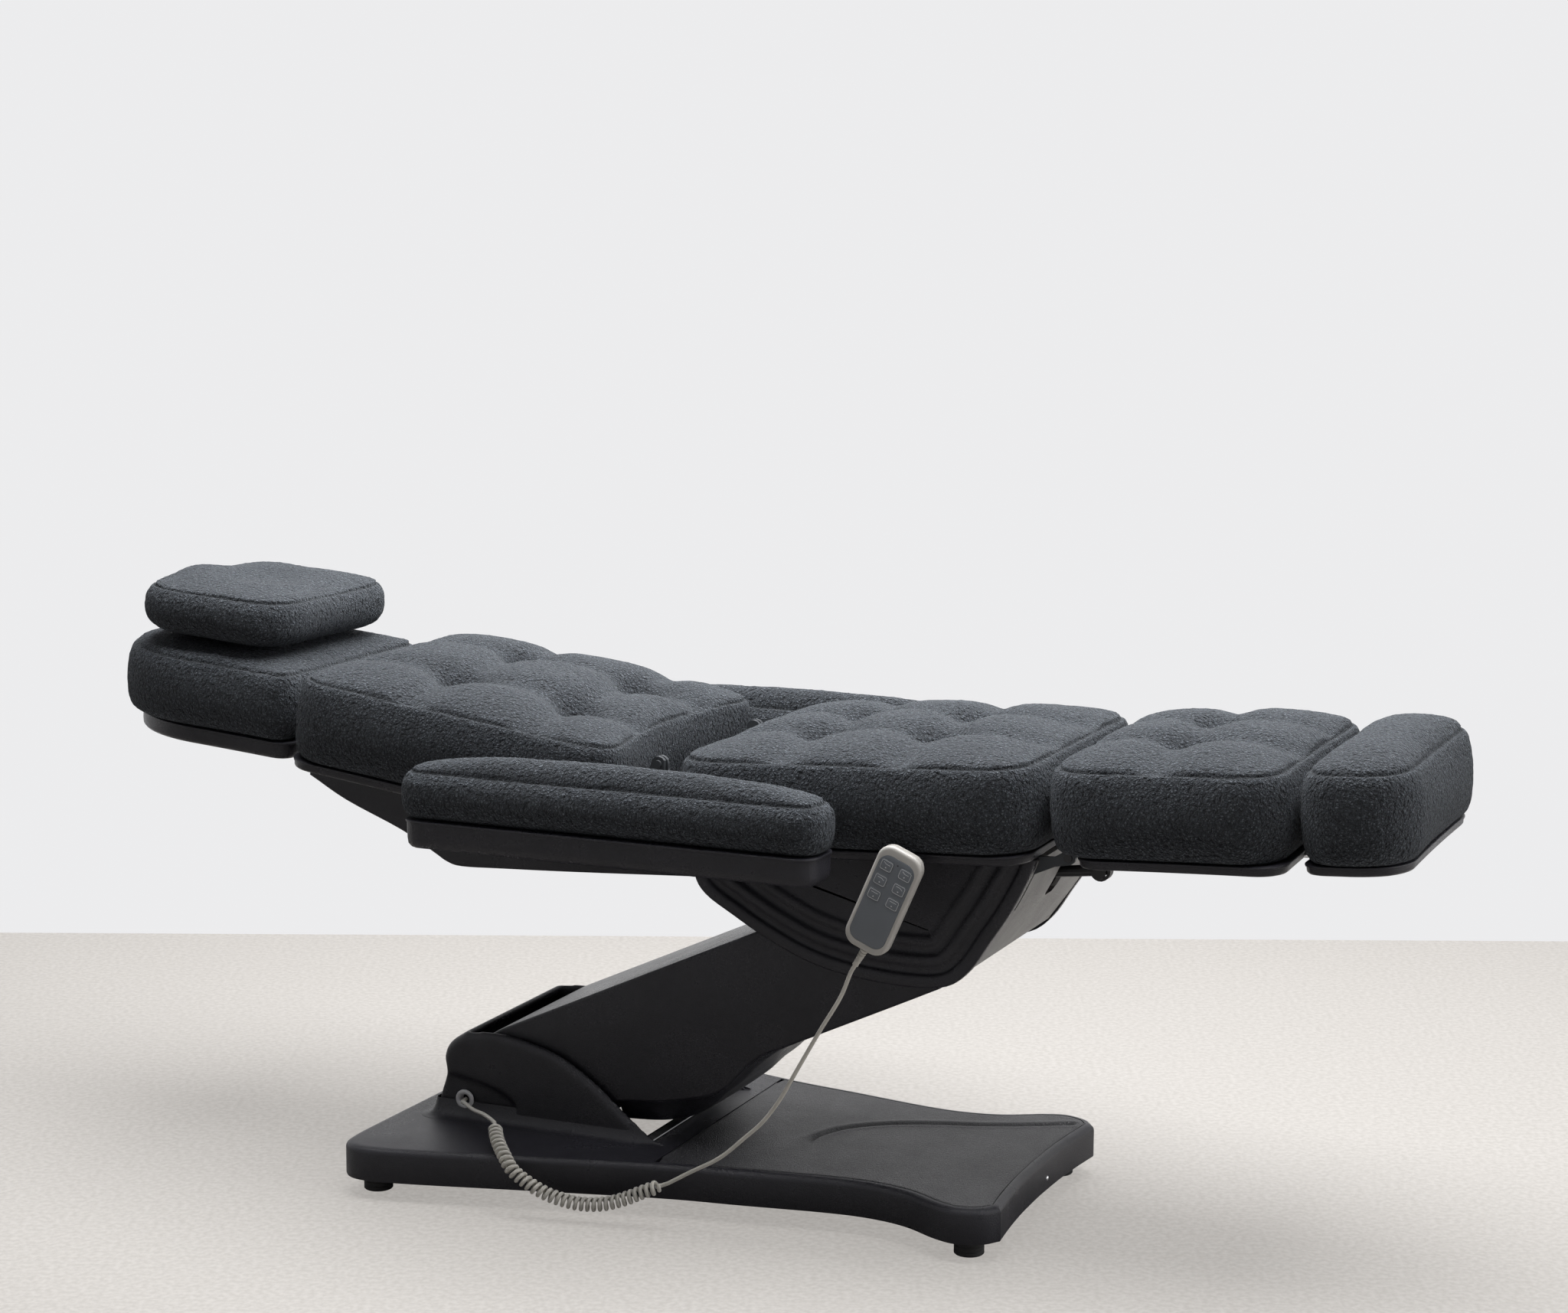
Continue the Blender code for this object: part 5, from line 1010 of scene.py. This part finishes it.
def rounded(half_x, half_y, radius, steps=8, centre=(0.0, 0.0)):
    """A rounded rectangle round its centre."""
    spots = []
    for sx, sy, start in ((1, 1, 0), (-1, 1, 90), (-1, -1, 180), (1, -1, 270)):
        for k in range(steps + 1):
            angle = math.radians(start + 90 * k / steps)
            spots.append(Vector((centre[0] + sx * (half_x - radius) + radius * math.cos(angle),
                                 centre[1] + sy * (half_y - radius) + radius * math.sin(angle))))
    return spots


CASE_LEVELS = [(0.007, -0.0095), (0.004, -0.0093), (0.0018, -0.0085), (0.0004, -0.007), (0.0, -0.005),
               (0.0, 0.0006), (0.0006, 0.001), (0.0006, 0.0016), (0.0, 0.002), (0.0, 0.0052), (0.0004, 0.007),
               (0.0018, 0.0085), (0.0036, 0.0093), (0.006, 0.0095)]
rings = [[(p.x, p.y, z) for p in rounded(0.0343 - inset, 0.079 - inset, 0.021 - inset)]
         for inset, z in CASE_LEVELS]
case = show("handset_shell", loft(rings), GREY, "handset", ["handset_case"], 32,
            HANDSET_PLANE)
PANEL_SPOT = (0.0, -0.0016)
carved(case, [prism(rounded(0.0283, 0.0673, 0.016, 8, PANEL_SPOT), 0.008, 0.015, 'Z')], 32, HANDSET_PLANE)
membrane = prism(rounded(0.028, 0.067, 0.0157, 8, PANEL_SPOT), 0.0083, 0.0098, 'Z', 0.0004)
panel = show("handset_membrane", membrane, SLATE, "handset", ["handset_panel"], 32,
             HANDSET_PLANE)
BED_LINES = {"back": [(-0.0052, 0.0042), (-0.0008, 0.002), (0.0052, 0.002)],
             "leg": [(-0.0052, 0.0036), (0.001, 0.0036), (0.0052, 0.0014)],
             "height": [(-0.0052, 0.003), (-0.0012, 0.003), (0.001, 0.003), (0.0052, 0.003)]}
KEYS = [("key_%s_%s" % (use, way), x, 0.0497 - row * 0.0231, BED_LINES[use], tip)
        for row, use in enumerate(BED_LINES)
        for way, x, tip in (("up", -0.015, 0.0014), ("down", 0.015, -0.0014))]
carved(panel, [prism(rounded(0.0098, 0.008, 0.003, 5, (x, y)), 0.007, 0.012, 'Z')
               for name, x, y, line, tip in KEYS], 32, HANDSET_PLANE)
PRINT_LOW, PRINT_TOP = 0.01038, 0.0105


def drawn_line(points, width, looped=False):
    """A printed line of even width that stands a hair over the key."""
    count = len(points)
    rings = []
    for i, here in enumerate(points):
        before = points[i - 1] if looped or i else here
        after = points[(i + 1) % count] if looped or i < count - 1 else here
        along = (Vector(after) - Vector(before)).normalized()
        out = Vector((-along.y, along.x)) * width / 2
        left, right = Vector(here) + out, Vector(here) - out
        rings.append([(*left, PRINT_LOW), (*right, PRINT_LOW), (*right, PRINT_TOP), (*left, PRINT_TOP)])
    return loft(rings, looped)


for name, x, y, line, tip in KEYS:
    cap = prism(rounded(0.0095, 0.0077, 0.003, 5, (x, y)), 0.0092, 0.0104, 'Z', 0.0004)
    show(name + "_cap", cap, SLATE, name, [name], 32, HANDSET_PLANE)
    arrow = [(x - 0.0012, y - 0.003 - tip * 0.5), (x + 0.0012, y - 0.003 - tip * 0.5), (x, y - 0.003 + tip)]
    for part, ink in (("_frame", drawn_line(rounded(0.0085, 0.0067, 0.0026, 6, (x, y)), 0.00055, True)),
                      ("_bed_line", drawn_line([(x + a, y + b) for a, b in line], 0.00065)),
                      ("_arrow", prism(arrow, PRINT_LOW, PRINT_TOP, 'Z'))):
        show(name + part, ink, PRINT, name, (), 60, HANDSET_PLANE)
lens = [(0.0002, 0.0), (0.0011, 0.0), (0.001, 0.0003), (0.0002, 0.0005)]
show("handset_lamp", lathed(lens, (0.0, 0.0574, 0.0097), (0, 0, 1), 16), BLACK, "handset",
     (), 40, HANDSET_PLANE)

# Strain relief: a tapered grey sleeve with ribs where the cord leaves the handset.
relief_start = HANDSET_PLANE @ Vector((0.0025, -0.0795, 0.0))
relief_end = HANDSET_PLANE @ Vector((-0.001, -0.107, 0.0))
relief_along = (relief_end - relief_start).normalized()
relief_length = (relief_end - relief_start).length
profile = [(0.0031, 0.0), (0.0056, 0.0), (0.0059, 0.0006)]
for k in range(5):
    foot = relief_length * (0.1 + 0.165 * k)
    thick = 0.0058 - 0.00028 * k
    profile += [(thick, foot), (thick - 0.0003, foot + 0.0007), (0.0042, foot + 0.001),
                (0.0042, foot + 0.0018), (thick - 0.0005, foot + 0.0021)]
profile += [(0.0045, relief_length - 0.0006), (0.0043, relief_length), (0.0031, relief_length)]
relief_bm = lathed(profile, relief_start + relief_along * 0.0003, relief_along, 28, True)
relief = show("cord_relief", relief_bm, CABLE, "handset", ["strain_relief"], 45)

# Handset cord: one flexible grey lead, six millimetres thick. It leaves the grommet, winds through
# a long retractile coil beside the hood, and rises to the handset on its smooth tail.
CORD, COIL_OUTER, CURLS, PER_CURL = 0.006, 0.022, 37, 16
COIL_ROUTE = [(-0.292, -0.263, 0.1085), (-0.272, -0.292, 0.0985), (-0.246, -0.318, 0.085),
              (-0.226, -0.33, 0.07), (-0.203, -0.331, 0.056), (-0.18, -0.328, 0.044),
              (-0.155, -0.322, 0.0345), (-0.12, -0.316, 0.029), (-0.085, -0.31, 0.032),
              (-0.055, -0.303, 0.0415), (-0.03, -0.297, 0.053), (-0.002, -0.29, 0.065)]
START_ROUTE = [(GROMMET[0], -0.156, GROMMET[1]), (GROMMET[0] + 0.001, -0.17, GROMMET[1] - 0.001),
               (-0.386, -0.188, 0.1125), (-0.362, -0.206, 0.1105), (-0.334, -0.225, 0.1125),
               (-0.312, -0.244, 0.114)]
END_ROUTE = [(0.04, -0.28, 0.088), (0.086, -0.275, 0.115), (0.124, -0.274, 0.149), (0.155, -0.276, 0.179),
             (0.184, -0.28, 0.218), (0.211, -0.285, 0.264), (0.247, -0.289, 0.326), (0.279, -0.291, 0.379)]


def even_points(points, spacing, steps=12):
    """Points an even distance apart along a smooth curve through the route."""
    fine = through(points, steps)
    lengths = [0.0]
    for first, second in zip(fine, fine[1:]):
        lengths.append(lengths[-1] + (second - first).length)
    count = max(2, round(lengths[-1] / spacing))
    spots, k = [], 0
    for i in range(count + 1):
        target = lengths[-1] * i / count
        while k < len(fine) - 2 and lengths[k + 1] < target:
            k += 1
        share = (target - lengths[k]) / max(lengths[k + 1] - lengths[k], 1e-9)
        spots.append(fine[k].lerp(fine[k + 1], min(max(share, 0.0), 1.0)))
    return spots


coil_line = even_points(COIL_ROUTE, 0.002)
total = CURLS * PER_CURL
winding = []
for i in range(total + 1):
    place = i / total * (len(coil_line) - 1)
    k = min(int(place), len(coil_line) - 2)
    centre = coil_line[k].lerp(coil_line[k + 1], place - k)
    along = (coil_line[k + 1] - coil_line[k]).normalized()
    side = along.cross(Vector((0, 1, 0))).normalized()
    up = side.cross(along).normalized()
    reach = (COIL_OUTER - CORD) / 2 * min(1.0, i / (0.7 * PER_CURL), (total - i) / (0.7 * PER_CURL))
    angle = 2 * math.pi * i / PER_CURL
    winding.append(centre + reach * (math.cos(angle) * side + math.sin(angle) * up))
first_along = (coil_line[1] - coil_line[0]).normalized()
last_along = (coil_line[-1] - coil_line[-2]).normalized()
coil_start = coil_line[0] - first_along * CORD
coil_end = coil_line[-1] + last_along * CORD
relief_tip = relief_end + relief_along * 0.0006
coil_points = [coil_start] + winding + [coil_end]
start_points = even_points(START_ROUTE + [coil_start - first_along * CORD], 0.006)
start_points.append(coil_start - first_along * 0.0003)
end_points = [coil_end + last_along * 0.0003] + even_points(
    [coil_end + last_along * CORD] + END_ROUTE + [relief_tip + relief_along * 0.012], 0.008) + [relief_tip]


def lead(name, points, sides=14):
    """A round tube swept along its points, closed at both ends."""
    rings = []
    normal = Vector((0, 0, 1))
    for i, here in enumerate(points):
        along = (points[min(i + 1, len(points) - 1)] - points[max(i - 1, 0)]).normalized()
        normal = (normal - along * normal.dot(along)).normalized()
        other = along.cross(normal)
        rings.append([here + CORD / 2 * (math.cos(2 * math.pi * k / sides) * normal
                                         + math.sin(2 * math.pi * k / sides) * other) for k in range(sides)])
    tube = placed(name, smoothed(mesh_of(name, loft(rings), CABLE), 60))
    return tube


start_lead = lead("cord_to_coil", start_points)
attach(start_lead, "base")
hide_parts("cord_start")
coil = lead("coiled_cord", coil_points)
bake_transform(coil)
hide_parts("cord_coil")
tail = lead("cord_to_handset", end_points)
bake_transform(tail)
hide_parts("cord_end")
